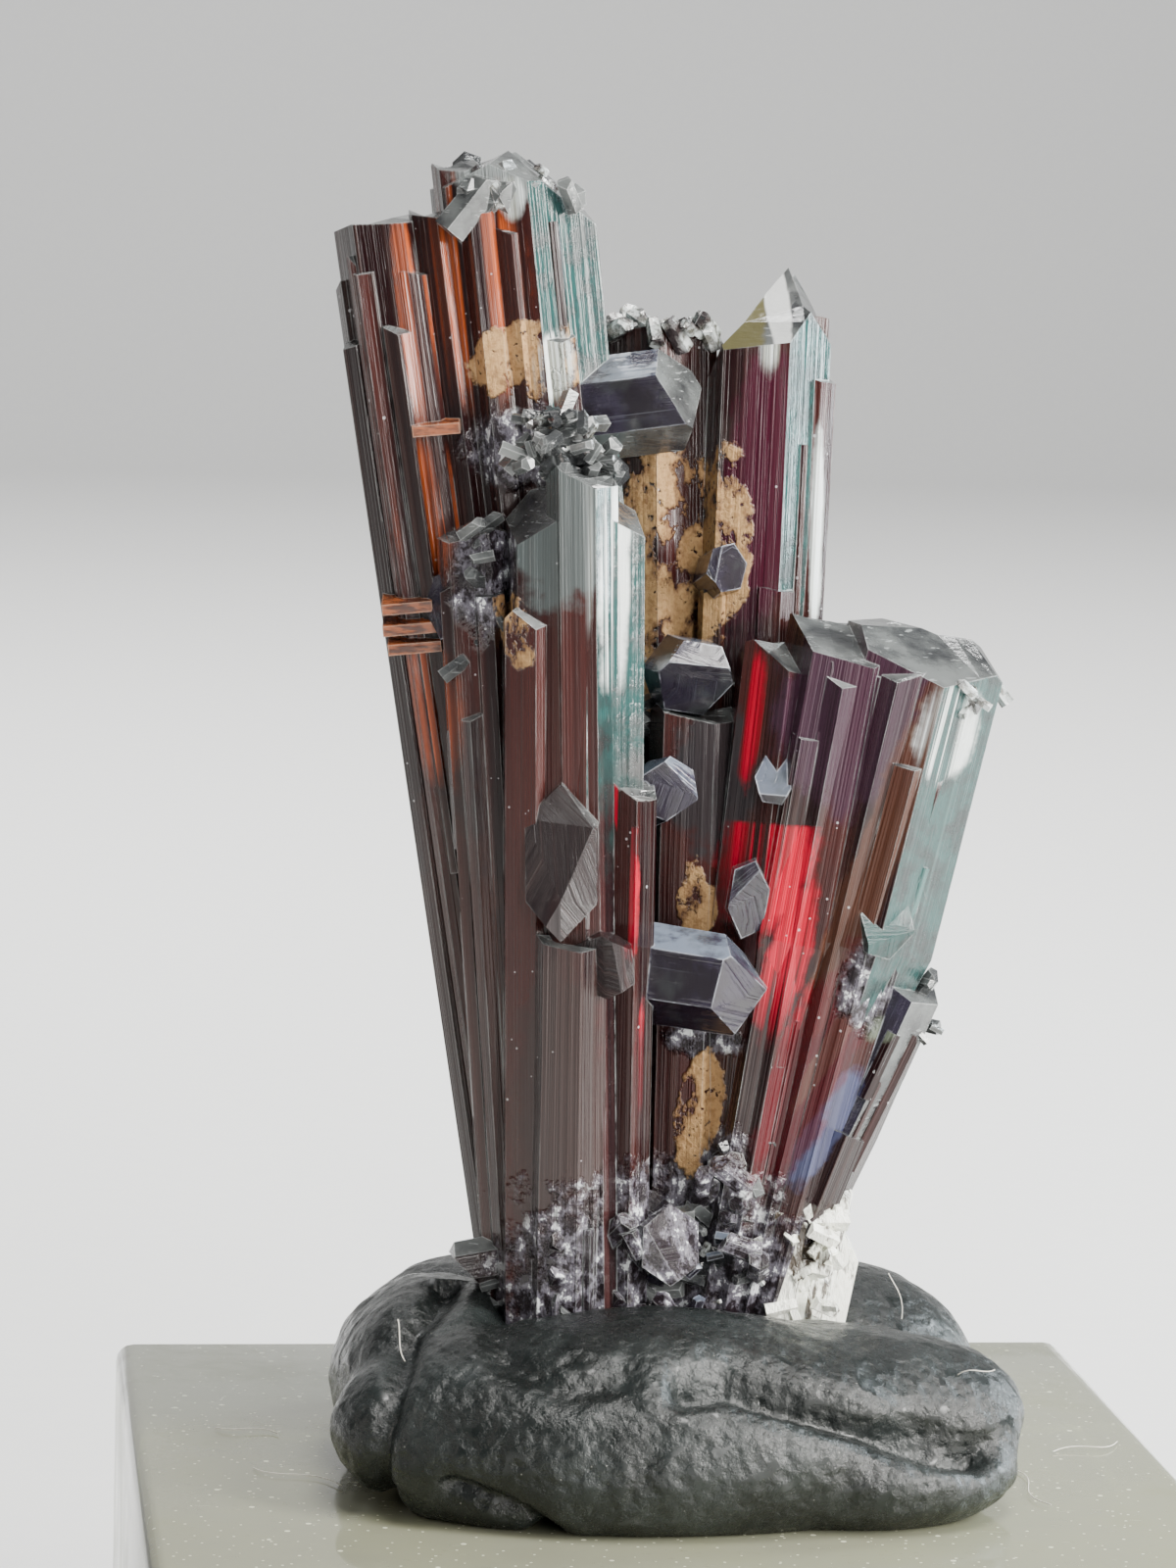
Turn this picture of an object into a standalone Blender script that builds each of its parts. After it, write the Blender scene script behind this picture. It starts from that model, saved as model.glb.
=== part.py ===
"""Proustite crystals set in dark putty on a clear display block.

Metres, +Z up. The origin is the middle of the block's underside. The places of
the crystals and the putty are written in millimetres in the specimen's frame:
X to the right, Y away from the front, Z up from the top of the block.
"""

import math
import random

import bmesh
import bpy
from mathutils import Matrix, Vector

MM = 0.001

BLOCK_WIDTH = 25.4 * MM
BLOCK_HEIGHT = 12.7 * MM
BLOCK_EDGE = 0.35 * MM
SPECIMEN_TURN = math.radians(-6.9)
GAP = 0.3 * MM

FOOT_Z = 1.2
FOOT_TRIM = 0.05 * MM
POCKET_DEPTH = 8.0 * MM
POCKET_FOOT = 5.0 * MM
POCKET_RIM = 6.2 * MM
POCKET_MIDDLE = (-0.1, 0.1, 0.0)
CORNER_SHARE = 0.16
LATH_LIFT = 0.8
SEED = 11

SPECIMEN = Matrix.Translation((0, 0, BLOCK_HEIGHT)) @ Matrix.Rotation(SPECIMEN_TURN, 4, "Z")

# Faces that end a crystal: how far below the tip they cross its axis in mm,
# their slope in degrees, and the way they face, 0 to the right and -90 to the front.
POINTED = ((0.0, 42, -70), (0.0, 40, 50), (0.0, 44, 170))
BLUNT = ((0.15, 14, -60), (0.0, 22, 110))
SLANTED = ((0.3, 30, -35), (0.2, 24, 140))
BROKEN = ((0.1, 9, 20), (0.0, 12, 200))


def clear_scene():
    for thing in list(bpy.data.objects):
        bpy.data.objects.remove(thing)


def new_collection(name):
    group = bpy.data.collections.new(name)
    bpy.context.scene.collection.children.link(group)
    return group


def new_material(name, color, roughness, metallic=0.0, transmission=0.0):
    material = bpy.data.materials.new(name)
    material.use_nodes = True
    shader = material.node_tree.nodes["Principled BSDF"]
    shader.inputs["Base Color"].default_value = (*color, 1.0)
    shader.inputs["Roughness"].default_value = roughness
    shader.inputs["Metallic"].default_value = metallic
    shader.inputs["Transmission Weight"].default_value = transmission
    return material


def add_object(name, bm, group, material=None, guide=False):
    """Turns a bmesh into an object; a guide only shapes another object."""
    bmesh.ops.recalc_face_normals(bm, faces=bm.faces)
    mesh = bpy.data.meshes.new(name)
    bm.to_mesh(mesh)
    bm.free()
    thing = bpy.data.objects.new(name, mesh)
    group.objects.link(thing)
    if material:
        mesh.materials.append(material)
    if guide:
        thing.hide_render = True
        thing.display_type = "WIRE"
    return thing


def cut_face(bm, point, normal):
    """Cuts off what lies beyond a plane and closes the cut with one face."""
    geometry = bm.verts[:] + bm.edges[:] + bm.faces[:]
    cut = bmesh.ops.bisect_plane(bm, geom=geometry, plane_co=point, plane_no=normal, clear_outer=True)
    rim = [item for item in cut["geom_cut"] if isinstance(item, bmesh.types.BMEdge)]
    if rim:
        bmesh.ops.contextual_create(bm, geom=rim)


def sloped(slope, facing):
    """The direction of a face that slopes from level and looks towards facing, both in degrees."""
    tilt, turn = math.radians(slope), math.radians(facing)
    return Vector((math.sin(tilt) * math.cos(turn), math.sin(tilt) * math.sin(turn), math.cos(tilt)))


def keep_outer_shell(thing):
    """Applies the modifiers and fills the hollows between crystals that are closed all round."""
    shaped = bpy.data.meshes.new_from_object(thing.evaluated_get(bpy.context.evaluated_depsgraph_get()))
    thing.modifiers.clear()
    thing.data = shaped
    bm = bmesh.new()
    bm.from_mesh(shaped)
    shells = []
    left = set(bm.verts)
    while left:
        shell, edge_of_search = set(), [left.pop()]
        while edge_of_search:
            v = edge_of_search.pop()
            shell.add(v)
            for e in v.link_edges:
                other = e.other_vert(v)
                if other in left:
                    left.remove(other)
                    edge_of_search.append(other)
        shells.append(shell)
    shells.sort(key=len)
    for shell in shells[:-1]:
        bmesh.ops.delete(bm, geom=list(shell), context="VERTS")
    bm.to_mesh(shaped)
    bm.free()


class Cluster:
    """Collects the crystals that grow together, as guides in one collection."""

    def __init__(self):
        self.group = new_collection("crystal guides")
        self.chance = random.Random(SEED)

    def grow(self, foot, tip, wide, deep, ends=POINTED, sides=6, turn=0.0, corner=CORNER_SHARE):
        """A crystal from foot to tip; wide and deep each give its size at the foot and at the tip."""
        foot, tip = Vector(foot) * MM, Vector(tip) * MM
        length = (tip - foot).length
        bm = bmesh.new()
        bmesh.ops.create_cone(bm, cap_ends=True, segments=sides, radius1=0.5, radius2=0.5, depth=1.0)
        bmesh.ops.rotate(bm, verts=bm.verts, matrix=Matrix.Rotation(math.radians(turn), 3, "Z"))
        if corner:
            upright = [e for e in bm.edges if abs(e.verts[0].co.z - e.verts[1].co.z) > 0.5]
            bmesh.ops.bevel(bm, geom=upright, offset=corner / 2, segments=1, affect="EDGES")
        for v in bm.verts:
            share = v.co.z + 0.5
            v.co.x *= (wide[0] + (wide[1] - wide[0]) * share) * MM
            v.co.y *= (deep[0] + (deep[1] - deep[0]) * share) * MM
            v.co.z = share * length
        for below, slope, facing in ends:
            cut_face(bm, Vector((0, 0, length - below * MM)), sloped(slope, facing))
        lean = Vector((0, 0, 1)).rotation_difference(tip - foot)
        place = SPECIMEN @ Matrix.Translation(foot) @ lean.to_matrix().to_4x4()
        bmesh.ops.transform(bm, matrix=place, verts=bm.verts)
        return add_object("guide", bm, self.group, guide=True)

    def grow_laths(self, foot, tip, wide, deep, facings, size, drop):
        """Narrow crystals along the flank of a wider one, which end up to drop mm below its tip."""
        for facing in facings:
            side = Vector((math.cos(math.radians(facing)), math.sin(math.radians(facing)), 0))
            reach = LATH_LIFT * self.chance.uniform(0.94, 1.06) / 2
            low = Vector((side.x * wide[0] * reach, side.y * deep[0] * reach, 0))
            high = Vector((side.x * wide[1] * reach, side.y * deep[1] * reach, 0))
            top = Vector(tip) + high
            top = Vector(foot) + low + (top - Vector(foot) - low) * (0.97 - self.chance.random() * drop)
            girth = size * self.chance.uniform(0.8, 1.2)
            ends = ((0.0, self.chance.uniform(8, 35), facing + self.chance.uniform(-40, 40)),)
            self.grow(Vector(foot) + low, top, (girth * 0.8, girth), (girth * 0.8, girth), ends, 6,
                      facing + 30, 0)


def left_group(cluster):
    """The tall prisms that lean to the left."""
    tall = dict(foot=(-0.5, 0.7, FOOT_Z), tip=(-4.3, 0.35, 31.9), wide=(3.5, 4.1), deep=(3.4, 3.9))
    cluster.grow(**tall, turn=12, ends=((0.15, 30, -40), (0.1, 20, 110), (0.2, 46, -4), (0.25, 24, 190)))
    cluster.grow_laths(**tall, facings=(-150, -118, -92, -66, 70, 105, 140), size=1.0, drop=0.12)
    outer = dict(foot=(-2.6, 0.1, FOOT_Z), tip=(-7.2, -0.1, 30.0), wide=(2.2, 2.4), deep=(2.4, 2.6))
    cluster.grow(**outer, turn=25, ends=((0.1, 8, 150), (0.1, 7, -40)))
    cluster.grow_laths(**outer, facings=(-165, -125, -88, -55, 120, 170), size=0.8, drop=0.07)
    cluster.grow((-1.7, -0.2, FOOT_Z), (-6.0, -0.45, 30.3), (1.5, 1.3), (1.6, 1.6), BLUNT, 6, 8)
    cluster.grow((-1.3, 0.0, FOOT_Z), (-5.5, 0.0, 31.4), (1.4, 1.2), (1.8, 1.8), BLUNT, 6, 20)


def front_group(cluster):
    """The stout prism in front, its shorter left neighbour and the laths between them."""
    stout = dict(foot=(-2.0, -2.1, FOOT_Z), tip=(-2.45, -2.5, 24.7), wide=(3.4, 3.5), deep=(3.2, 3.2))
    cluster.grow(**stout, turn=10, ends=((0.2, 12, -80), (0.6, 40, -20), (0.7, 42, -150), (0.6, 40, 70)))
    cluster.grow((-1.5, -2.6, FOOT_Z), (-2.3, -3.3, 23.4), (1.8, 1.7), (1.9, 1.9), SLANTED, 6, 22)
    cluster.grow((-2.9, -2.5, FOOT_Z), (-3.35, -3.0, 21.3), (1.6, 1.6), (1.8, 1.8), POINTED, 6, 5)
    cluster.grow((-2.2, -3.0, FOOT_Z), (-2.3, -3.7, 13.4), (1.9, 1.8), (1.6, 1.7), BLUNT, 6, 17)
    cluster.grow((-0.8, -2.3, FOOT_Z), (-0.9, -2.9, 17.2), (1.2, 1.2), (1.8, 1.8), SLANTED, 6, 9)
    short = dict(foot=(-3.1, -1.5, FOOT_Z), tip=(-4.75, -1.7, 22.9), wide=(1.6, 2.0), deep=(1.9, 2.0))
    cluster.grow(**short, turn=18, ends=((0.2, 16, -150), (0.1, 18, 10)))
    cluster.grow_laths(**short, facings=(-150, -110, -75), size=0.8, drop=0.4)


def back_group(cluster):
    """The upright prism on the right, the broken one in the middle and those behind."""
    upright = dict(foot=(1.6, 1.1, FOOT_Z), tip=(2.1, 1.5, 29.4), wide=(2.8, 3.2), deep=(3.2, 3.5))
    cluster.grow(**upright, turn=20, ends=((-0.3, 58, -5), (0.5, 30, 175), (0.9, 44, -110), (1.1, 60, 165)))
    cluster.grow_laths(**upright, facings=(-135, -70, -12, 25, 110), size=1.0, drop=0.3)
    middle = dict(foot=(0.2, 1.3, FOOT_Z), tip=(-0.6, 1.9, 27.6), wide=(3.0, 3.4), deep=(2.6, 2.8))
    cluster.grow(**middle, turn=0, ends=BROKEN)
    cluster.grow((-0.9, 2.4, FOOT_Z), (-5.1, 2.7, 28.3), (3.2, 3.5), (2.8, 3.0), SLANTED, 6, 33)
    cluster.grow((-2.6, 1.8, FOOT_Z), (-6.5, 2.0, 25.0), (2.2, 2.4), (2.2, 2.4), POINTED, 6, 10)
    cluster.grow((0.6, 2.8, FOOT_Z), (-0.9, 3.9, 24.4), (2.8, 3.0), (2.4, 2.6), POINTED, 6, 22)
    cluster.grow((1.9, 2.2, FOOT_Z), (2.3, 3.0, 21.4), (2.4, 2.6), (2.4, 2.8), SLANTED, 6, 5)


def right_group(cluster):
    """The fan of prisms that leans to the right and ends in a broad cap."""
    cluster.grow((0.6, -0.8, FOOT_Z), (0.7, -0.6, 18.6), (2.3, 2.5), (2.4, 2.4), BLUNT, 6, 15)
    cap = ((0.55, 24, -80), (0.25, 14, 80), (-0.45, 40, -2), (0.3, 12, 175))
    outer = dict(foot=(1.9, -0.7, FOOT_Z), tip=(6.2, -1.15, 20.9), wide=(1.9, 4.0), deep=(2.6, 4.2))
    cluster.grow(**outer, turn=14, ends=cap)
    cluster.grow_laths(**outer, facings=(-135, -108, -82, -56), size=1.0, drop=0.16)
    inner = dict(foot=(1.2, -0.9, FOOT_Z), tip=(4.3, -1.2, 21.0), wide=(1.7, 3.0), deep=(2.4, 3.7))
    cluster.grow(**inner, turn=24, ends=((0.5, 22, -85), (0.2, 16, 120)))
    cluster.grow_laths(**inner, facings=(-120, -92, -64), size=0.9, drop=0.2)
    cluster.grow((1.0, -0.8, FOOT_Z), (2.7, -1.1, 20.4), (1.6, 2.4), (2.2, 2.9), SLANTED, 6, 4)
    cluster.grow((1.8, 0.7, FOOT_Z), (4.7, 1.0, 18.2), (2.2, 3.0), (2.2, 3.0), POINTED, 6, 17)
    cluster.grow((3.4, -1.3, 9.6), (6.15, -1.5, 15.1), (1.2, 1.5), (1.8, 2.0), ((0.2, 50, -10), (0.2, 30, 170)))


def low_right_group(cluster):
    """Short prisms that spread out low on the right, and the splintered patch under them."""
    cluster.grow((1.7, -0.9, 2.2), (5.85, -1.2, 12.2), (1.4, 1.9), (2.2, 2.4), BLUNT, 6, 12)
    cluster.grow((1.9, -0.2, 2.0), (5.3, 0.4, 10.3), (1.6, 1.8), (2.0, 2.2), SLANTED, 6, 30)
    cluster.grow((2.0, -1.3, 2.0), (4.35, -1.7, 8.6), (1.2, 1.3), (1.5, 1.6), BROKEN, 6, 8)
    for i in range(6):
        along = i / 5
        cluster.grow(
            (2.5 + 1.3 * along, -1.9 + 1.9 * along, FOOT_Z),
            (3.3 + 1.3 * along, -2.0 + 2.3 * along, 6.2 + 0.9 * math.sin(1.9 * i + 0.6)),
            (0.9, 1.0), (1.0, 0.9), ((0.1, 35 + 9 * (i % 3), -30 + 25 * (i % 2)),), 5, 20 * i, 0,
        )


def cross_crystals(cluster):
    """Short crystals that lie across the prisms."""
    cluster.grow((-2.6, 0.3, 25.4), (0.5, -0.7, 25.9), (2.5, 2.5), (2.3, 2.2),
                 ((0.0, 30, 20), (0.3, 26, 180)), 6, 14)
    cluster.grow((-1.2, -1.9, 12.3), (2.45, -3.2, 12.0), (2.5, 2.4), (2.2, 2.1),
                 ((0.0, 38, 10), (0.2, 42, 150), (0.5, 30, -100)), 6, 4)


def small_crystals(cluster):
    """Small crystals seated on the flanks: where each is rooted, its tip, width and height."""
    seats = (
        ((-2.5, -2.6, 15.2), (-2.55, -4.75, 15.0), 3.5, 1.9),
        ((-1.7, -2.4, 12.8), (-1.45, -4.5, 12.6), 1.5, 1.6),
        ((-0.5, -1.4, 16.4), (0.1, -2.9, 16.8), 1.5, 1.3),
        ((0.2, -0.3, 19.2), (0.6, -2.2, 19.3), 1.9, 1.8),
        ((1.9, -1.5, 14.0), (1.9, -3.3, 14.2), 1.9, 1.0),
        ((1.0, 0.6, 21.5), (1.3, -1.0, 21.9), 1.2, 1.1),
        ((0.1, -1.5, 5.6), (0.3, -3.6, 5.9), 1.9, 1.6),
        ((2.6, -1.2, 17.2), (2.4, -2.9, 16.9), 1.2, 0.9),
        ((4.7, -1.0, 13.8), (5.3, -3.2, 13.6), 1.8, 1.3),
        ((-5.2, -0.6, 20.9), (-5.6, -2.1, 20.8), 1.6, 1.0),
        ((-3.4, -1.8, 5.2), (-5.0, -2.3, 5.0), 1.0, 1.2),
    )
    for i, (root, tip, high, wide) in enumerate(seats):
        ends = ((0.0, 12 + 5 * (i % 3), 40 * i), (0.3, 38, 40 * i + 150))
        cluster.grow(root, tip, (wide * 1.1, wide), (high * 1.1, high), ends, 6, 11 * i, 0.2)


def ledges(cluster):
    """Thin plates that stand out across the left prisms as steps."""
    for x, z, wide in ((-5.75, 25.1, 1.6), (-6.35, 20.85, 1.7), (-6.25, 20.35, 1.9), (-6.15, 19.9, 1.8)):
        cluster.grow((x, -0.9, z - 0.13), (x - 0.03, -0.95, z + 0.13), (wide, wide), (1.75, 1.75), (), 4, 45, 0)


def druse(cluster):
    """Crusts of small crystals: on the broken tops and round the foot of the front."""
    spots = (
        (14, (-2.55, -2.6, 24.35), (1.1, 1.1, 0.3), 0.75),
        (12, (-0.5, 1.7, 27.45), (1.3, 1.0, 0.15), 0.65),
        (22, (0.6, -2.4, 5.4), (1.9, 0.7, 2.3), 0.8),
        (8, (-1.4, -3.5, 5.0), (1.2, 0.4, 1.6), 0.75),
        (6, (5.85, -1.2, 11.9), (0.6, 0.7, 0.3), 0.6),
    )
    chance = cluster.chance
    for count, middle, spread, size in spots:
        for _ in range(count):
            seat = Vector(c + chance.uniform(-s, s) for c, s in zip(middle, spread))
            grown = size * chance.uniform(0.7, 1.2)
            way = Vector((chance.uniform(-0.6, 0.6), -0.5 + chance.uniform(-0.5, 0.4), chance.uniform(0.1, 0.8)))
            way.normalize()
            ends = ((0.0, chance.uniform(25, 45), chance.uniform(0, 360)),)
            cluster.grow(seat - way * grown, seat + way * grown * 0.5, (grown, grown * 0.9),
                         (grown, grown * 0.9), ends, 6, chance.uniform(0, 60), 0)


def make_cluster(group, material):
    """Joins all crystals in one solid and cuts it off level at the foot."""
    cluster = Cluster()
    for build in (left_group, front_group, back_group, right_group, low_right_group, cross_crystals,
                  small_crystals, ledges, druse):
        build(cluster)
    crystals = add_object("proustite_crystals", bmesh.new(), group, material)
    join = crystals.modifiers.new("grown together", "BOOLEAN")
    join.operation = "UNION"
    join.operand_type = "COLLECTION"
    join.collection = cluster.group
    floor = bmesh.new()
    bmesh.ops.create_cube(floor, size=1.0)
    level = BLOCK_HEIGHT + FOOT_Z * MM + FOOT_TRIM
    bmesh.ops.scale(floor, vec=(BLOCK_WIDTH, BLOCK_WIDTH, BLOCK_HEIGHT), verts=floor.verts)
    bmesh.ops.translate(floor, vec=(0, 0, level - BLOCK_HEIGHT / 2), verts=floor.verts)
    trim = crystals.modifiers.new("level foot", "BOOLEAN")
    trim.operation = "DIFFERENCE"
    trim.object = add_object("foot cutter", floor, new_collection("cutters"), guide=True)
    keep_outer_shell(crystals)
    return crystals


def make_putty(group, material):
    """Lobes of putty pressed together round the foot, cut flat just above the block."""
    lobes = new_collection("putty guides")
    folds = (
        ((-0.3, -4.9, 1.7), (7.6, 4.1, 2.75), 3),
        ((4.9, -3.2, 2.2), (3.6, 2.4, 1.8), -14),
        ((5.0, -5.2, 1.1), (3.7, 2.7, 1.5), 12),
        ((-5.2, -1.6, 1.9), (2.7, 4.4, 2.7), 10),
        ((-4.6, 3.4, 1.6), (3.0, 3.2, 2.5), -30),
        ((4.5, 2.7, 1.8), (3.4, 3.7, 2.5), 20),
        ((0.2, 5.2, 1.5), (5.6, 3.1, 2.6), 6),
        ((0.0, 0.0, 1.2), (6.4, 6.4, 2.6), 0),
    )
    for middle, size, turn in folds:
        bm = bmesh.new()
        bmesh.ops.create_uvsphere(bm, u_segments=16, v_segments=9, radius=1.0)
        bmesh.ops.scale(bm, vec=[c * MM for c in size], verts=bm.verts)
        place = Matrix.Translation(Vector(middle) * MM) @ Matrix.Rotation(math.radians(turn), 4, "Z")
        bmesh.ops.transform(bm, matrix=SPECIMEN @ place, verts=bm.verts)
        add_object("lobe", bm, lobes, guide=True)
    putty = add_object("mounting_putty", bmesh.new(), group, material)
    join = putty.modifiers.new("pressed together", "BOOLEAN")
    join.operation = "UNION"
    join.operand_type = "COLLECTION"
    join.collection = lobes
    cutters = new_collection("putty cutters")
    below = bmesh.new()
    bmesh.ops.create_cube(below, size=1.0)
    bmesh.ops.scale(below, vec=(BLOCK_WIDTH, BLOCK_WIDTH, BLOCK_HEIGHT), verts=below.verts)
    bmesh.ops.translate(below, vec=(0, 0, BLOCK_HEIGHT / 2 + GAP), verts=below.verts)
    add_object("block space", below, cutters, guide=True)
    pocket = bmesh.new()
    bmesh.ops.create_cone(pocket, cap_ends=True, segments=20, radius1=POCKET_FOOT, radius2=POCKET_RIM,
                          depth=POCKET_DEPTH)
    middle = Vector(POCKET_MIDDLE) * MM + Vector((0, 0, FOOT_Z * MM - GAP + POCKET_DEPTH / 2))
    bmesh.ops.transform(pocket, matrix=SPECIMEN @ Matrix.Translation(middle), verts=pocket.verts)
    add_object("foot pocket", pocket, cutters, guide=True)
    cut = putty.modifiers.new("block and pocket", "BOOLEAN")
    cut.operation = "DIFFERENCE"
    cut.operand_type = "COLLECTION"
    cut.collection = cutters
    keep_outer_shell(putty)
    return putty


def make_block(group, material):
    bm = bmesh.new()
    bmesh.ops.create_cube(bm, size=1.0)
    bmesh.ops.scale(bm, vec=(BLOCK_WIDTH, BLOCK_WIDTH, BLOCK_HEIGHT), verts=bm.verts)
    bmesh.ops.translate(bm, vec=(0, 0, BLOCK_HEIGHT / 2), verts=bm.verts)
    bmesh.ops.bevel(bm, geom=bm.edges[:], offset=BLOCK_EDGE, segments=2, affect="EDGES", profile=0.5)
    return add_object("display_block", bm, group, material)


def main():
    clear_scene()
    group = new_collection("proustite specimen")
    ruby = new_material("proustite", (0.16, 0.02, 0.02), 0.15, 0.0, 0.2)
    acrylic = new_material("clear acrylic", (0.72, 0.75, 0.68), 0.12, 0.0, 0.9)
    putty = new_material("dark putty", (0.03, 0.035, 0.034), 0.4)
    make_cluster(group, ruby)
    make_putty(group, putty)
    make_block(group, acrylic)


main()
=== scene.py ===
"""Looks of the proustite specimen: ruby crystals, dark putty and the clear block.

Metres, +Z up, in the frame of the solids. Places on the crystals and the putty
are written in millimetres in the specimen's frame: X to the right, Y away from
the front, Z up from the top of the block.
"""

import math
import random

import bmesh
import bpy
from mathutils import Matrix, Vector, noise


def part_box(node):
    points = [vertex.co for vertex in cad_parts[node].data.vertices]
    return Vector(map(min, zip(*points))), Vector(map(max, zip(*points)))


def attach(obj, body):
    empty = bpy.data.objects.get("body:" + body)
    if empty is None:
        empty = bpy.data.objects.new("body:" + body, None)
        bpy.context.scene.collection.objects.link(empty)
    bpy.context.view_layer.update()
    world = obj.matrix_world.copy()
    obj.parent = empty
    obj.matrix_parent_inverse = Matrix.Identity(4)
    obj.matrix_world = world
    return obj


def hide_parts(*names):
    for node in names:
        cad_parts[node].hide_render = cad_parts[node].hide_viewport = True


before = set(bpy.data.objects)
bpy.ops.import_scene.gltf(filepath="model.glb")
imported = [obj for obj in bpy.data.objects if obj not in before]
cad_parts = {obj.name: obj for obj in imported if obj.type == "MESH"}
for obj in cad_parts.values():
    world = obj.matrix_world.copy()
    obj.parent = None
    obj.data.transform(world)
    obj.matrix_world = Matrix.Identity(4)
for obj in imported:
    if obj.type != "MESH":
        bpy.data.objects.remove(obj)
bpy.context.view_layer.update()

bl_info = {
    "name": "Proustite specimen",
    "version": (1, 0, 0),
    "blender": (4, 5, 0),
    "location": "3D View > Sidebar > Specimen",
    "description": "Crystals, putty and clear block of a small proustite specimen",
    "category": "Object",
}

MM = 0.001
BLOCK_LOW, BLOCK_HIGH = (Vector(corner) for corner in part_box("display_block"))
SPECIMEN_TURN = math.radians(-6.9)
SPECIMEN = Matrix.Translation((0, 0, BLOCK_HIGH.z)) @ Matrix.Rotation(SPECIMEN_TURN, 4, "Z")
FOOT_Z = 1.2
FOOT_TRIM = 0.05
CORNER_SHARE = 0.16
LATH_LIFT = 0.8
SEED = 11

# Faces that end a crystal: how far below the tip they cross its axis in mm,
# their slope in degrees, and the way they face, 0 to the right and -90 to the front.
POINTED = ((0.0, 42, -70), (0.0, 40, 50), (0.0, 44, 170))
BLUNT = ((0.15, 14, -60), (0.0, 22, 110))
SLANTED = ((0.3, 30, -35), (0.2, 24, 140))
BROKEN = ((0.1, 9, 20), (0.0, 12, 200))


# Sizes and colours


def length_property(label, words, value):
    """A length, given in millimetres."""
    return bpy.props.FloatProperty(name=label, description=words, default=value * MM, subtype="DISTANCE",
                                   unit="LENGTH", precision=5)


class SpecimenSizes(bpy.types.PropertyGroup):
    ridge_depth: bpy.props.FloatProperty(
        name="Ridge depth", description="Depth of the ridges, as a share of the radius", default=0.045,
        subtype="FACTOR")
    broken_depth: length_property("Broken depth", "Depth of the dents in the crystals' broken ends", 0.22)
    block_edge: length_property("Block edge", "Radius of the block's rounded edges", 0.45)
    putty_grain: length_property("Putty grain", "Size of the cells that the putty is modelled from", 0.13)
    fibre_radius: length_property("Fibre radius", "Half the thickness of the dust fibres", 0.014)
    dimple_depth: length_property("Dimple depth", "Depth of the dimples in the putty", 0.12)


def colour_property(label, words, value):
    return bpy.props.FloatVectorProperty(name=label, description=words, default=value, subtype="COLOR")


class SpecimenColours(bpy.types.PropertyGroup):
    ruby: colour_property("Ruby", "Dark body colour of the crystals", (0.012, 0.003, 0.0035))
    ruby_light: colour_property("Light ruby", "Lighter streaks along the crystals", (0.055, 0.014, 0.012))
    # Painted glow of light inside the tall left crystals.
    orange: colour_property("Orange", "Glow in the tall crystals on the left", (0.5, 0.095, 0.022))
    # Painted glow where light shines through.
    scarlet: colour_property("Scarlet", "Windows where light comes through", (0.62, 0.0, 0.03))
    # A painted blue-green reflection on the faces that turn to the right.
    tarnish: colour_property("Tarnish", "Blue-green film on the faces to the right", (0.025, 0.08, 0.076))
    crust: colour_property("Crust", "Tan coating in the hollows", (0.5, 0.3, 0.13))
    # Near-white painted glints, on the crystals' edges and on the small bright crystals.
    cleavage: colour_property("Cleavage", "Bright broken faces", (0.68, 0.73, 0.72))
    violet: colour_property("Violet grey", "Small cross crystals", (0.04, 0.034, 0.055))
    putty: colour_property("Putty", "Dark grey-green putty", (0.006, 0.008, 0.0075))
    acrylic: colour_property("Acrylic", "Tint of the clear block", (0.8, 0.82, 0.62))
    backdrop: colour_property("Backdrop", "Pale floor and backdrop", (0.72, 0.72, 0.71))


# The skins


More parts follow.
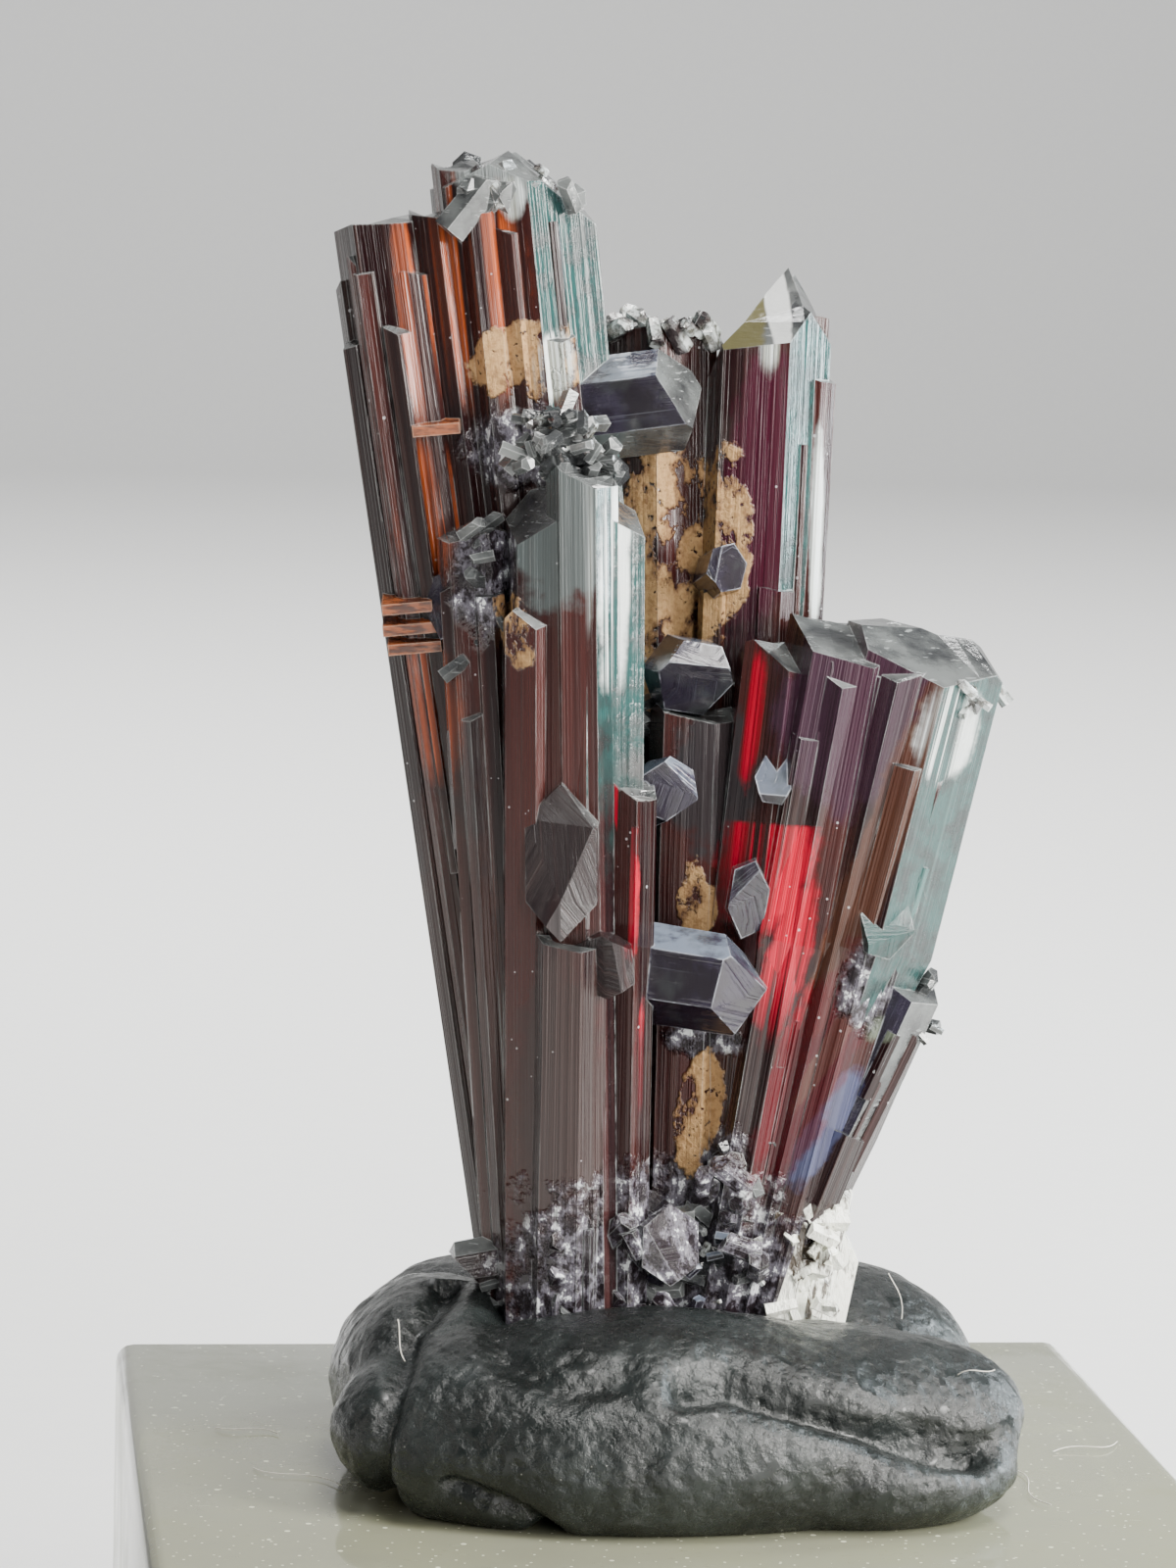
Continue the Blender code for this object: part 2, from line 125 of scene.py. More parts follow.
class Skin:
    """A material whose nodes are added and linked in one line each."""

    def __init__(self, name, body):
        self.body = body
        self.material = bpy.data.materials.new(name)
        self.material.use_nodes = True
        self.tree = self.material.node_tree
        self.surface = self.tree.nodes["Principled BSDF"]
        self.where = self.tree.nodes.new("ShaderNodeTexCoord")
        self.object_place = self.where.outputs["Object"]
        self.along = self.where.outputs["UV"]
        mapping = self.add("ShaderNodeMapping", Vector=self.object_place)
        mapping.vector_type = "TEXTURE"
        mapping.inputs["Location"].default_value = SPECIMEN.translation
        mapping.inputs["Rotation"].default_value = (0, 0, SPECIMEN_TURN)
        mapping.inputs["Scale"].default_value = (MM, MM, MM)
        self.place = mapping.outputs["Vector"]
        self.rim_noise = self.noise(1.4, 4.0, 0.6)

    def add(self, kind, **inputs):
        node = self.tree.nodes.new(kind)
        for key, value in inputs.items():
            self.feed(node.inputs[key.replace("_", " ")], value)
        return node

    def feed(self, socket, value):
        if isinstance(value, bpy.types.NodeSocket):
            self.tree.links.new(value, socket)
        else:
            socket.default_value = value

    def coat(self, share, colour):
        """Lays a colour over the body colour, as far as share says."""
        self.body = self.mix(share, self.body, colour)

    def set(self, **inputs):
        """Gives the surface the body colour and the values named."""
        self.feed(self.surface.inputs["Base Color"], solid(self.body))
        for key, value in inputs.items():
            self.feed(self.surface.inputs[key.replace("_", " ")], value)

    def math(self, operation, a, b=0.0):
        node = self.add("ShaderNodeMath")
        node.operation = operation
        node.use_clamp = operation in {"MULTIPLY", "ADD", "SUBTRACT"}
        self.feed(node.inputs[0], a)
        self.feed(node.inputs[1], b)
        return node.outputs[0]

    def times(self, a, b):
        return self.math("MULTIPLY", a, b)

    def plus(self, a, b):
        return self.math("ADD", a, b)

    def step(self, value, low, high, to_low=0.0, to_high=1.0):
        """A smooth ramp of value from low to high."""
        node = self.add("ShaderNodeMapRange", Value=value, From_Min=low, From_Max=high, To_Min=to_low,
                        To_Max=to_high)
        node.interpolation_type = "SMOOTHSTEP"
        return node.outputs["Result"]

    def noise(self, scale, detail=4.0, rough=0.55, stretch=(1, 1, 1), shift=0.0, where=None):
        """Cloudy noise from 0 to 1, by default in millimetres of the specimen's frame."""
        mapped = self.add("ShaderNodeMapping", Vector=where or self.place, Scale=stretch,
                          Location=(shift, shift, shift))
        node = self.add("ShaderNodeTexNoise", Vector=mapped.outputs["Vector"], Scale=scale, Detail=detail,
                        Roughness=rough)
        return node.outputs["Fac"]

    def cells(self, scale, feature="F1", shift=0.0):
        """How far each point is from the middle of its cell."""
        mapped = self.add("ShaderNodeMapping", Vector=self.place, Location=(shift, shift, shift))
        node = self.add("ShaderNodeTexVoronoi", Vector=mapped.outputs["Vector"], Scale=scale)
        node.feature = feature
        return node.outputs["Distance"]

    def streaks(self, scale, shift=0.0, detail=3.0, stretch=0.05):
        """Noise drawn out along the crystal, from its own map in millimetres."""
        return self.noise(scale, detail, 0.6, (1.0, stretch, 1.0), shift, self.along)

    def mix(self, share, a, b):
        node = self.add("ShaderNodeMix")
        node.data_type = "RGBA"
        self.feed(node.inputs["Factor"], share)
        self.feed(node.inputs["A"], solid(a))
        self.feed(node.inputs["B"], solid(b))
        return node.outputs["Result"]

    def patch(self, middle, reach, lean=0.0, ragged=0.35, soft=0.25):
        """1 inside an oval with a ragged rim; reach is its half sizes in mm, lean its lean in degrees."""
        mapping = self.add("ShaderNodeMapping", Vector=self.place, Location=middle, Scale=reach,
                           Rotation=(0, math.radians(lean), 0))
        mapping.vector_type = "TEXTURE"
        length = self.add("ShaderNodeVectorMath")
        length.operation = "LENGTH"
        self.feed(length.inputs[0], mapping.outputs["Vector"])
        spread = self.math("MULTIPLY_ADD", self.rim_noise, ragged * 2.0)
        self.feed(spread.node.inputs[2], length.outputs["Value"])
        return self.step(spread, 1.0 + ragged + soft, 1.0 + ragged - soft)

    def cover(self, patches, ragged, soft):
        """The share covered by any of several patches."""
        total = None
        for place in patches:
            share = self.patch(*place, ragged, soft)
            total = share if total is None else self.math("MAXIMUM", total, share)
        return total

    def facing(self, direction, low, high):
        """Where the surface faces a direction of the specimen's frame."""
        geometry = self.add("ShaderNodeNewGeometry")
        node = self.add("ShaderNodeVectorMath")
        node.operation = "DOT_PRODUCT"
        self.feed(node.inputs[0], geometry.outputs["True Normal"])
        self.feed(node.inputs[1], SPECIMEN.to_3x3() @ Vector(direction).normalized())
        return self.step(node.outputs["Value"], low, high)

    def edges(self, radius, low=0.02, high=0.25):
        """Where two faces meet at a sharp edge."""
        geometry = self.add("ShaderNodeNewGeometry")
        rounded = self.add("ShaderNodeBevel", Radius=radius)
        rounded.samples = 3
        node = self.add("ShaderNodeVectorMath")
        node.operation = "DOT_PRODUCT"
        self.feed(node.inputs[0], geometry.outputs["Normal"])
        self.feed(node.inputs[1], rounded.outputs["Normal"])
        return self.step(self.math("SUBTRACT", 1.0, node.outputs["Value"]), low, high)

    def rim(self, radius, where, low, high, colour):
        """Paints highlights along the sharp edges, broken up where the noise is low."""
        self.coat(self.times(self.edges(radius), self.step(where, low, high)), colour)

    def bump(self, height, distance, strength=1.0):
        node = self.add("ShaderNodeBump", Height=height, Distance=distance, Strength=strength)
        self.feed(self.surface.inputs["Normal"], node.outputs["Normal"])


def solid(colour):
    """A colour with its alpha; a socket is passed on as it is."""
    if isinstance(colour, bpy.types.NodeSocket):
        return colour
    return (colour[0], colour[1], colour[2], 1.0)


def colours():
    return bpy.context.scene.specimen_colours


def sizes():
    return bpy.context.scene.specimen_sizes


# Finishes of the crystals

# Painted glow: scarlet windows where light shines through the crystals, each with its middle, half sizes and
# lean; the red windows are cut off level at WINDOW_TOP.
WINDOW_TOP = 15.95
RED_WINDOWS = (
    ((2.35, -2.3, 15.2), (1.05, 3.0, 2.0), 12),
    ((2.85, -2.5, 12.6), (0.5, 3.0, 2.0), 14),
    ((-0.95, -2.6, 14.6), (0.26, 2.2, 2.0), -2),
    ((-0.55, -2.6, 10.4), (0.16, 2.2, 1.2), 0),
)
UPPER_WINDOWS = (
    ((1.85, -1.8, 18.4), (0.32, 3.0, 1.6), 4),
    ((-1.15, -3.4, 16.8), (0.2, 1.6, 1.2), -2),
    ((2.75, -2.4, 9.6), (0.28, 3.0, 2.3), 14),
)
# Painted highlights: pale glare streaks, each with its middle, half sizes and lean.
GLARES = (
    ((-1.4, -4.3, 21.8), (0.42, 1.6, 3.1), 0),
    ((-2.1, -4.4, 22.4), (0.2, 1.6, 2.0), 0),
    ((3.4, 1.0, 22.6), (0.16, 3.0, 2.4), 0),
    ((2.25, 0.0, 27.9), (0.35, 2.6, 1.3), 4),
    ((6.5, -2.4, 18.2), (0.75, 2.6, 1.2), 16),
    ((-4.1, -1.4, 30.5), (0.32, 2.0, 0.5), 0),
    ((-3.0, -1.4, 26.6), (0.45, 2.0, 0.8), 0),
)
TAN_PATCHES = (
    ((-0.2, 0.6, 21.4), (1.5, 1.3, 3.2), 0),
    ((1.25, 0.3, 22.6), (0.6, 1.4, 2.2), 0),
    ((-3.6, -1.0, 26.7), (1.5, 1.6, 0.9), -8),
    ((-3.75, -3.3, 20.4), (0.45, 1.4, 1.0), -20),
    ((0.7, -0.9, 13.9), (0.5, 1.6, 1.0), 0),
    ((0.9, -1.3, 8.9), (0.6, 1.4, 1.6), 10),
)
# Broad stains, some of them painted reflections: colour, middle, half sizes, lean and strength.
STAINS_AND_REFLECTIONS = (
    # Painted reflection: grey-teal sheen on the stout front prism.
    ((0.1, 0.125, 0.125), (-2.8, -4.0, 22.8), (1.3, 1.6, 1.8), 0, 0.8),
    ((0.05, 0.022, 0.04), (4.4, -2.8, 18.6), (1.9, 2.0, 2.3), 14, 0.8),
    ((0.055, 0.005, 0.018), (2.0, 0.2, 23.6), (0.9, 2.0, 3.6), 5, 0.8),
    ((0.03, 0.016, 0.014), (-2.5, -4.2, 8.2), (1.5, 1.4, 4.8), 0, 0.8),
    ((0.055, 0.02, 0.015), (-4.4, -1.4, 10.0), (1.5, 2.4, 7.0), -9, 0.6),
    ((0.03, 0.031, 0.034), (1.1, -1.4, 16.9), (1.1, 1.6, 1.9), 0, 0.8),
    ((0.075, 0.028, 0.016), (4.9, -2.6, 15.2), (0.55, 2.4, 5.2), 19, 0.9),
    # Painted reflection: teal on the right face of the right fan.
    ((0.05, 0.135, 0.125), (6.15, -2.2, 14.4), (0.75, 2.4, 2.7), 19, 0.95),
    ((0.16, 0.19, 0.14), (5.35, -2.2, 11.6), (0.5, 2.4, 0.9), 20, 0.9),
    ((0.07, 0.08, 0.16), (3.9, -2.0, 8.6), (0.45, 2.6, 1.7), 26, 0.95),
    ((0.09, 0.085, 0.05), (4.1, -2.2, 10.9), (0.25, 2.6, 2.0), 28, 0.9),
    # Painted highlight: pale grey on the tip of the tall left prism.
    ((0.3, 0.33, 0.33), (-4.1, -1.2, 31.2), (1.5, 2.5, 0.8), 0, 0.9),
    ((0.075, 0.001, 0.006), (3.6, -2.4, 10.2), (0.8, 2.4, 3.4), 22, 0.75),
)
# Painted glow of light inside the tall left prisms, laid in orange bands: middle, half sizes and lean.
ORANGE_PANELS = (
    ((-4.95, -1.4, 28.4), (1.15, 2.6, 2.7), -8),
    ((-6.45, -1.2, 27.6), (0.26, 2.0, 2.6), -8),
    ((-5.9, -1.2, 23.0), (0.75, 2.0, 1.6), -9),
    ((-5.7, -1.4, 18.4), (0.8, 2.0, 1.7), -9),
)


CRUSHED = (
    ((0.2, -3.2, 3.6), (4.3, 3.9, 3.9), 0),
    ((1.1, -1.6, 6.4), (1.3, 2.4, 2.0), 8),
    ((-4.5, -2.4, 21.8), (0.8, 1.6, 1.6), 0),
    ((-3.5, -1.2, 24.6), (1.5, 1.6, 0.9), 0),
    ((1.0, -1.5, 10.6), (1.0, 1.6, 0.5), 0),
    ((4.9, -1.8, 12.2), (0.9, 1.8, 1.2), 20),
)


def ruby_finish(name, glow=1.0, grey=0.0):
    """Striated dark ruby with orange, scarlet and tan patches where the specimen has them: the orange and
    scarlet are painted glow of light inside the crystals, and painted glare, glints and sparkles lie over
    all.
    """
    paint = colours()
    skin = Skin(name, paint.ruby)
    broad = skin.streaks(0.9, 3.1)
    fine = skin.streaks(5.0, 9.7, 4.0, 0.012)
    hair = skin.streaks(16.0, 5.5, 2.0, 0.006)
    cloud = skin.noise(0.35, 4.0, 0.6)
    skin.coat(skin.step(broad, 0.42, 0.66), paint.ruby_light)
    skin.coat(skin.step(fine, 0.5, 0.7, 0.0, 0.55), (0.062, 0.028, 0.023))
    skin.coat(skin.step(cloud, 0.56, 0.72, 0.0, 0.45), (0.035, 0.024, 0.022))
    # Lays the broad stains, and the painted reflections among them.
    for colour, middle, reach, lean, strength in STAINS_AND_REFLECTIONS:
        share = skin.times(skin.patch(middle, reach, lean, 0.5, 0.16), strength)
        skin.coat(skin.times(share, skin.step(broad, 0.3, 0.5, 0.4, 1.0)), colour)
    if grey:
        skin.coat(grey, (0.04, 0.035, 0.037))
    # Painted glow: orange bands on the left prisms, streaked with brown.
    bands = skin.step(skin.streaks(2.1, 1.3, 1.0, 0.01), 0.43, 0.6)
    orange = skin.mix(skin.step(fine, 0.4, 0.62), paint.orange, (0.2, 0.045, 0.02))
    share = skin.times(skin.cover(ORANGE_PANELS, 0.25, 0.3), bands)
    skin.coat(skin.times(share, glow), orange)
    # Painted glow in the scarlet windows, with pale painted glints along fine lines and dimmer lower down.
    height_up = skin.add("ShaderNodeSeparateXYZ", Vector=skin.place).outputs["Z"]
    below_top = skin.step(height_up, WINDOW_TOP, WINDOW_TOP - 0.12)
    window = skin.times(skin.cover(RED_WINDOWS, 0.45, 0.2), below_top)
    window = skin.math("MAXIMUM", window, skin.cover(UPPER_WINDOWS, 0.45, 0.2))
    panes = skin.step(skin.streaks(2.6, 7.9, 2.0, 0.035), 0.4, 0.5)
    scarlet = skin.mix(skin.step(fine, 0.42, 0.62), paint.scarlet, (0.25, 0.001, 0.01))
    scarlet = skin.mix(skin.step(broad, 0.52, 0.7), scarlet, (0.16, 0.0, 0.006))
    scarlet = skin.mix(skin.step(hair, 0.71, 0.75, 0.0, 0.6), scarlet, (0.8, 0.5, 0.55))
    scarlet = skin.mix(skin.step(height_up, 12.6, 10.4), scarlet, (0.085, 0.0, 0.004))
    skin.coat(skin.times(window, panes), scarlet)
    # The crushed foot: dark and grey chips, with white flecks that are painted glints.
    crushed = skin.cover(CRUSHED, 0.6, 0.2)
    chips = skin.cells(1.7, "F1", 2.0)
    flecks = skin.noise(2.4, 5.0, 0.72, (1, 1, 0.8), 4.0)
    broken = skin.mix(skin.step(flecks, 0.44, 0.56), (0.014, 0.009, 0.012), (0.15, 0.14, 0.17))
    broken = skin.mix(skin.step(flecks, 0.575, 0.61), broken, (0.85, 0.88, 0.9))
    skin.coat(crushed, broken)
    crust_grain = skin.noise(5.0, 6.0, 0.65)
    crust = skin.cover(TAN_PATCHES, 0.5, 0.06)
    islands = skin.noise(0.95, 5.0, 0.62, (1, 1, 0.7), 1.7)
    crust = skin.times(crust, skin.step(islands, 0.43, 0.46))
    crust = skin.times(crust, skin.step(crust_grain, 0.34, 0.42))
    tan = skin.mix(skin.step(crust_grain, 0.45, 0.7), paint.crust, (0.3, 0.16, 0.06))
    tan = skin.mix(skin.step(islands, 0.52, 0.44), tan, (0.16, 0.075, 0.03))
    skin.coat(crust, tan)
    # Painted highlights: pale glare streaks.
    glare = skin.times(skin.cover(GLARES, 0.35, 0.25),
                        skin.step(skin.streaks(1.9, 6.1, 4.0, 0.03), 0.42, 0.56))
    painted_glare_colour = skin.mix(skin.step(fine, 0.4, 0.62), (0.82, 0.88, 0.88), (0.3, 0.31, 0.26))
    skin.coat(glare, painted_glare_colour)
    # Painted highlights along the sharp edges.
    glint = skin.times(skin.edges(0.045 * MM), skin.step(cloud, 0.4, 0.65, 0.0, 0.6))
    skin.coat(glint, paint.cleavage)
    # Painted sparkles: small white dots in crowds.
    crowd = skin.step(skin.noise(0.6, 3.0, 0.6, (1, 1, 1), 9.0), 0.5, 0.68, 0.0, 0.13)
    sparkle = skin.math("LESS_THAN", skin.cells(3.3), crowd)
    skin.coat(skin.times(sparkle, 0.45), (0.8, 0.8, 0.82))
    rough = skin.step(fine, 0.3, 0.75, 0.07, 0.3)
    rough = skin.math("MAXIMUM", rough, skin.times(crust, 0.85))
    height = skin.plus(skin.times(fine, 0.6), skin.times(hair, 0.3))
    height = skin.plus(height, skin.times(crust_grain, skin.times(crust, 0.9)))
    height = skin.plus(height, skin.times(skin.plus(chips, flecks), crushed))
    height.node.use_clamp = False
    skin.set(Roughness=rough, IOR=1.5, Transmission_Weight=0.15)
    skin.bump(height, 0.09 * MM)
    return skin.material


def blue_green_reflection_finish(name):
    """Glassy blue-green painted reflection with pale blotches, on faces turned to the right, with painted
    glare and painted glints along the edges.
    """
    paint = colours()
    skin = Skin(name, paint.tarnish)
    fine = skin.streaks(4.0, 2.2, 4.0, 0.02)
    blotch = skin.noise(1.3, 5.0, 0.62)
    skin.coat(skin.step(blotch, 0.38, 0.66, 0.0, 0.85), (0.022, 0.026, 0.027))
    skin.coat(skin.step(fine, 0.58, 0.72, 0.0, 0.4), (0.13, 0.22, 0.21))
    low_left = skin.patch((-1.6, -3.0, 6.0), (2.6, 5.0, 11.0), 0, 0.3, 0.25)
    streaked = skin.mix(skin.step(fine, 0.45, 0.65), (0.012, 0.005, 0.006), (0.05, 0.02, 0.02))
    skin.coat(low_left, streaked)
    # Painted glare, and painted glints along the edges.
    glare = skin.times(skin.cover(GLARES, 0.35, 0.2), skin.step(fine, 0.4, 0.5))
    skin.coat(glare, (0.75, 0.8, 0.78))
    # Painted white glints along the edges.
    skin.rim(0.06 * MM, blotch, 0.42, 0.6, (0.55, 0.6, 0.6))
    skin.set(Roughness=skin.step(blotch, 0.35, 0.7, 0.06, 0.32), IOR=1.6,
               Transmission_Weight=0.2)
    skin.bump(skin.plus(fine, skin.times(blotch, 0.5)), 0.05 * MM)
    return skin.material


def cap_finish(name):
    """Grey glassy broken ends with fine lines, painted white glints along the edges and a painted highlight
    near the right prism's tip.
    """
    skin = Skin(name, (0.04, 0.042, 0.045))
    haze = skin.noise(0.7, 5.0, 0.6)
    lines = skin.noise(2.2, 2.0, 0.5, (1, 1, 6), 2.0)
    skin.coat(skin.step(haze, 0.36, 0.64), (0.16, 0.172, 0.17))
    skin.coat(skin.step(lines, 0.66, 0.69, 0.0, 0.5), (0.5, 0.53, 0.53))
    skin.coat(skin.patch((1.45, 0.2, 27.8), (0.6, 3.0, 1.4), 0, 0.3, 0.15), (0.13, 0.12, 0.055))
    # Painted highlight near the right prism's tip.
    skin.coat(skin.patch((2.3, 0.2, 28.2), (0.3, 3.0, 1.5), -8, 0.25, 0.12), (0.75, 0.77, 0.76))
    # Painted white glints along the edges.
    skin.rim(0.05 * MM, haze, 0.4, 0.6, (0.6, 0.62, 0.62))
    skin.set(Roughness=skin.step(haze, 0.3, 0.7, 0.06, 0.26), IOR=1.7,
               Transmission_Weight=0.3)
    skin.bump(skin.plus(haze, skin.times(lines, 0.2)), 0.05 * MM)
    return skin.material


def ledge_finish(name):
    """Orange-brown plates with painted highlights along their edges."""
    skin = Skin(name, (0.3, 0.085, 0.03))
    grain = skin.noise(1.6, 4.0, 0.6, (1, 1, 5), 6.0)
    skin.coat(skin.step(grain, 0.4, 0.6), (0.07, 0.022, 0.012))
    # Painted highlights along the edges.
    skin.coat(skin.edges(0.06 * MM), (0.5, 0.3, 0.2))
    skin.set(Roughness=0.2, IOR=1.6)
    skin.bump(grain, 0.05 * MM)
    return skin.material


def painted_glint_finish(name):
    """Bright broken faces that glitter: their near-white colour is a painted glint."""
    paint = colours()
    skin = Skin(name, paint.cleavage)
    facets = skin.cells(1.6, "F1", 4.0)
    grain = skin.noise(4.0, 4.0, 0.6)
    skin.coat(skin.step(grain, 0.42, 0.6), (0.12, 0.12, 0.1))
    skin.coat(skin.step(facets, 0.4, 0.7), (0.04, 0.03, 0.03))
    skin.set(Roughness=skin.step(grain, 0.3, 0.7, 0.06, 0.3), IOR=2.2,
               Transmission_Weight=0.25)
    skin.bump(skin.plus(facets, skin.times(grain, 0.3)), 0.15 * MM)
    return skin.material


def splinter_finish(name):
    """Splintered cream faces that catch the most light, painted near white: partly their own pale colour,
    partly painted highlight.
    """
    skin = Skin(name, (0.06, 0.045, 0.03))
    fibres = skin.noise(2.2, 5.0, 0.65, (1, 1, 0.35), 3.0)
    skin.coat(skin.step(fibres, 0.4, 0.5), (0.95, 0.96, 0.86))
    skin.coat(skin.step(fibres, 0.6, 0.72), (0.5, 0.52, 0.42))
    skin.set(Roughness=0.2, IOR=1.8)
    skin.bump(fibres, 0.2 * MM)
    return skin.material


def violet_finish(name):
    """Violet-grey glassy faces with painted highlights as white lines along their edges, painted shade on
    faces turned down and a painted pale-blue reflection on faces turned up.
    """
    paint = colours()
    skin = Skin(name, paint.violet)
    haze = skin.noise(1.1, 4.0, 0.6)
    fine = skin.streaks(6.0, 8.0, 3.0, 0.03)
    skin.coat(skin.step(haze, 0.38, 0.62), (0.02, 0.016, 0.022))
    # Painted shade on the faces turned down.
    skin.coat(skin.facing((0, 0, -1), 0.2, 0.6), (0.014, 0.01, 0.018))
    skin.coat(skin.step(fine, 0.6, 0.74, 0.0, 0.35), (0.3, 0.32, 0.37))
    # Painted pale-blue reflection on the faces turned up and forward.
    painted_sky_reflection = skin.times(skin.facing((0.1, -0.35, 1), 0.55, 0.9), skin.step(haze, 0.35, 0.55))
    skin.coat(painted_sky_reflection, (0.2, 0.24, 0.31))
    clear = skin.step(skin.noise(0.8, 4.0, 0.6, (1, 1, 1), 7.0), 0.5, 0.62, 0.0, 0.4)
    skin.coat(clear, (0.055, 0.064, 0.064))
    # Painted highlights along the edges.
    rim = skin.times(skin.edges(0.06 * MM, 0.02, 0.15), skin.step(haze, 0.44, 0.58))
    skin.coat(rim, (0.6, 0.63, 0.7))
    skin.set(Roughness=skin.step(haze, 0.3, 0.7, 0.05, 0.22), IOR=1.6,
               Transmission_Weight=0.25)
    skin.bump(skin.plus(haze, fine), 0.05 * MM)
    return skin.material


def crystal_finishes():
    return [
        ruby_finish("striated ruby"),
        blue_green_reflection_finish("blue-green tarnish"),
        cap_finish("glassy grey ends"),
        painted_glint_finish("bright cleavage"),
        violet_finish("violet-grey faces"),
        ruby_finish("greyed ruby", glow=0.6, grey=0.5),
        splinter_finish("bright splinters"),
        ledge_finish("orange ledges"),
    ]


# The finishes in the order above. A look names those of the sides, the sides that face right and the ends.
RUBY, BLUE_GREEN_REFLECTION, CAP, PAINTED_GLINT, VIOLET, GREYED, SPLINTER, ORANGE = range(8)
STRIATED = (RUBY, RUBY, CAP)
# The sides that face right take the painted blue-green reflection.
RIGHT_REFLECTING = (RUBY, BLUE_GREEN_REFLECTION, CAP)
BACK = (GREYED, GREYED, CAP)
GLASSY = (VIOLET,) * 3
# Small crystals painted near white as glints.
BRIGHT = (PAINTED_GLINT,) * 3
DULL = (CAP,) * 3
LEDGE = (ORANGE,) * 3
STONY = (GREYED, CAP, GREYED)
TEAL = (BLUE_GREEN_REFLECTION,) * 3
ROUGH = (RUBY,) * 3
SPLINTERED = (SPLINTER,) * 3


# Modelling


def deselect_all():
    if bpy.context.mode != "OBJECT":
        mode("OBJECT")
    bpy.ops.object.select_all(action="DESELECT")


def mode(name):
    bpy.ops.object.mode_set(mode=name)


def pick(thing):
    """Makes a thing the only one selected, and the active one."""
    deselect_all()
    thing.select_set(True)
    bpy.context.view_layer.objects.active = thing


def select_where(thing, kind, test):
    """In edit mode, selects the edges or vertices of which test holds, and nothing else."""
    bm = bmesh.from_edit_mesh(thing.data)
    for group in (bm.verts, bm.edges, bm.faces):
        for item in group:
            item.select = False
    for item in getattr(bm, kind):
        item.select_set(test(item))
    bm.select_flush_mode()
    bmesh.update_edit_mesh(thing.data)


def apply_modifiers(thing):
    pick(thing)
    for modifier in list(thing.modifiers):
        bpy.ops.object.modifier_apply(modifier=modifier.name)


def join(things, name):
    """One object from several, in the place of the first."""
    deselect_all()
    for thing in things:
        thing.select_set(True)
    bpy.context.view_layer.objects.active = things[0]
    bpy.ops.object.join()
    things[0].name = name
    things[0].data.name = name
    return things[0]


def fuse(thing, other):
    """One outer surface round both things; the second is used up."""
    both = thing.modifiers.new("one body", "BOOLEAN")
    both.operation = "UNION"
    both.solver = "EXACT"
    both.use_self = True
    both.object = other
    apply_modifiers(thing)
    bpy.data.objects.remove(other)
    return thing


def sloped(slope, facing):
    """The direction of a face that slopes from level and looks towards facing, both in degrees."""
    tilt, turn = math.radians(slope), math.radians(facing)
    return Vector((math.sin(tilt) * math.cos(turn), math.sin(tilt) * math.sin(turn), math.cos(tilt)))


def trim(thing, place, outward):
    """In edit mode, cuts off what lies outward of a plane and closes the cut."""
    bpy.ops.mesh.select_all(action="SELECT")
    bpy.ops.mesh.bisect(plane_co=place, plane_no=outward, use_fill=True, clear_outer=True, threshold=1e-8)


def upright(edge):
    """Whether an edge runs along the cylinder that a crystal is made from."""
    return abs(edge.verts[0].co.z - edge.verts[1].co.z) > 0.5


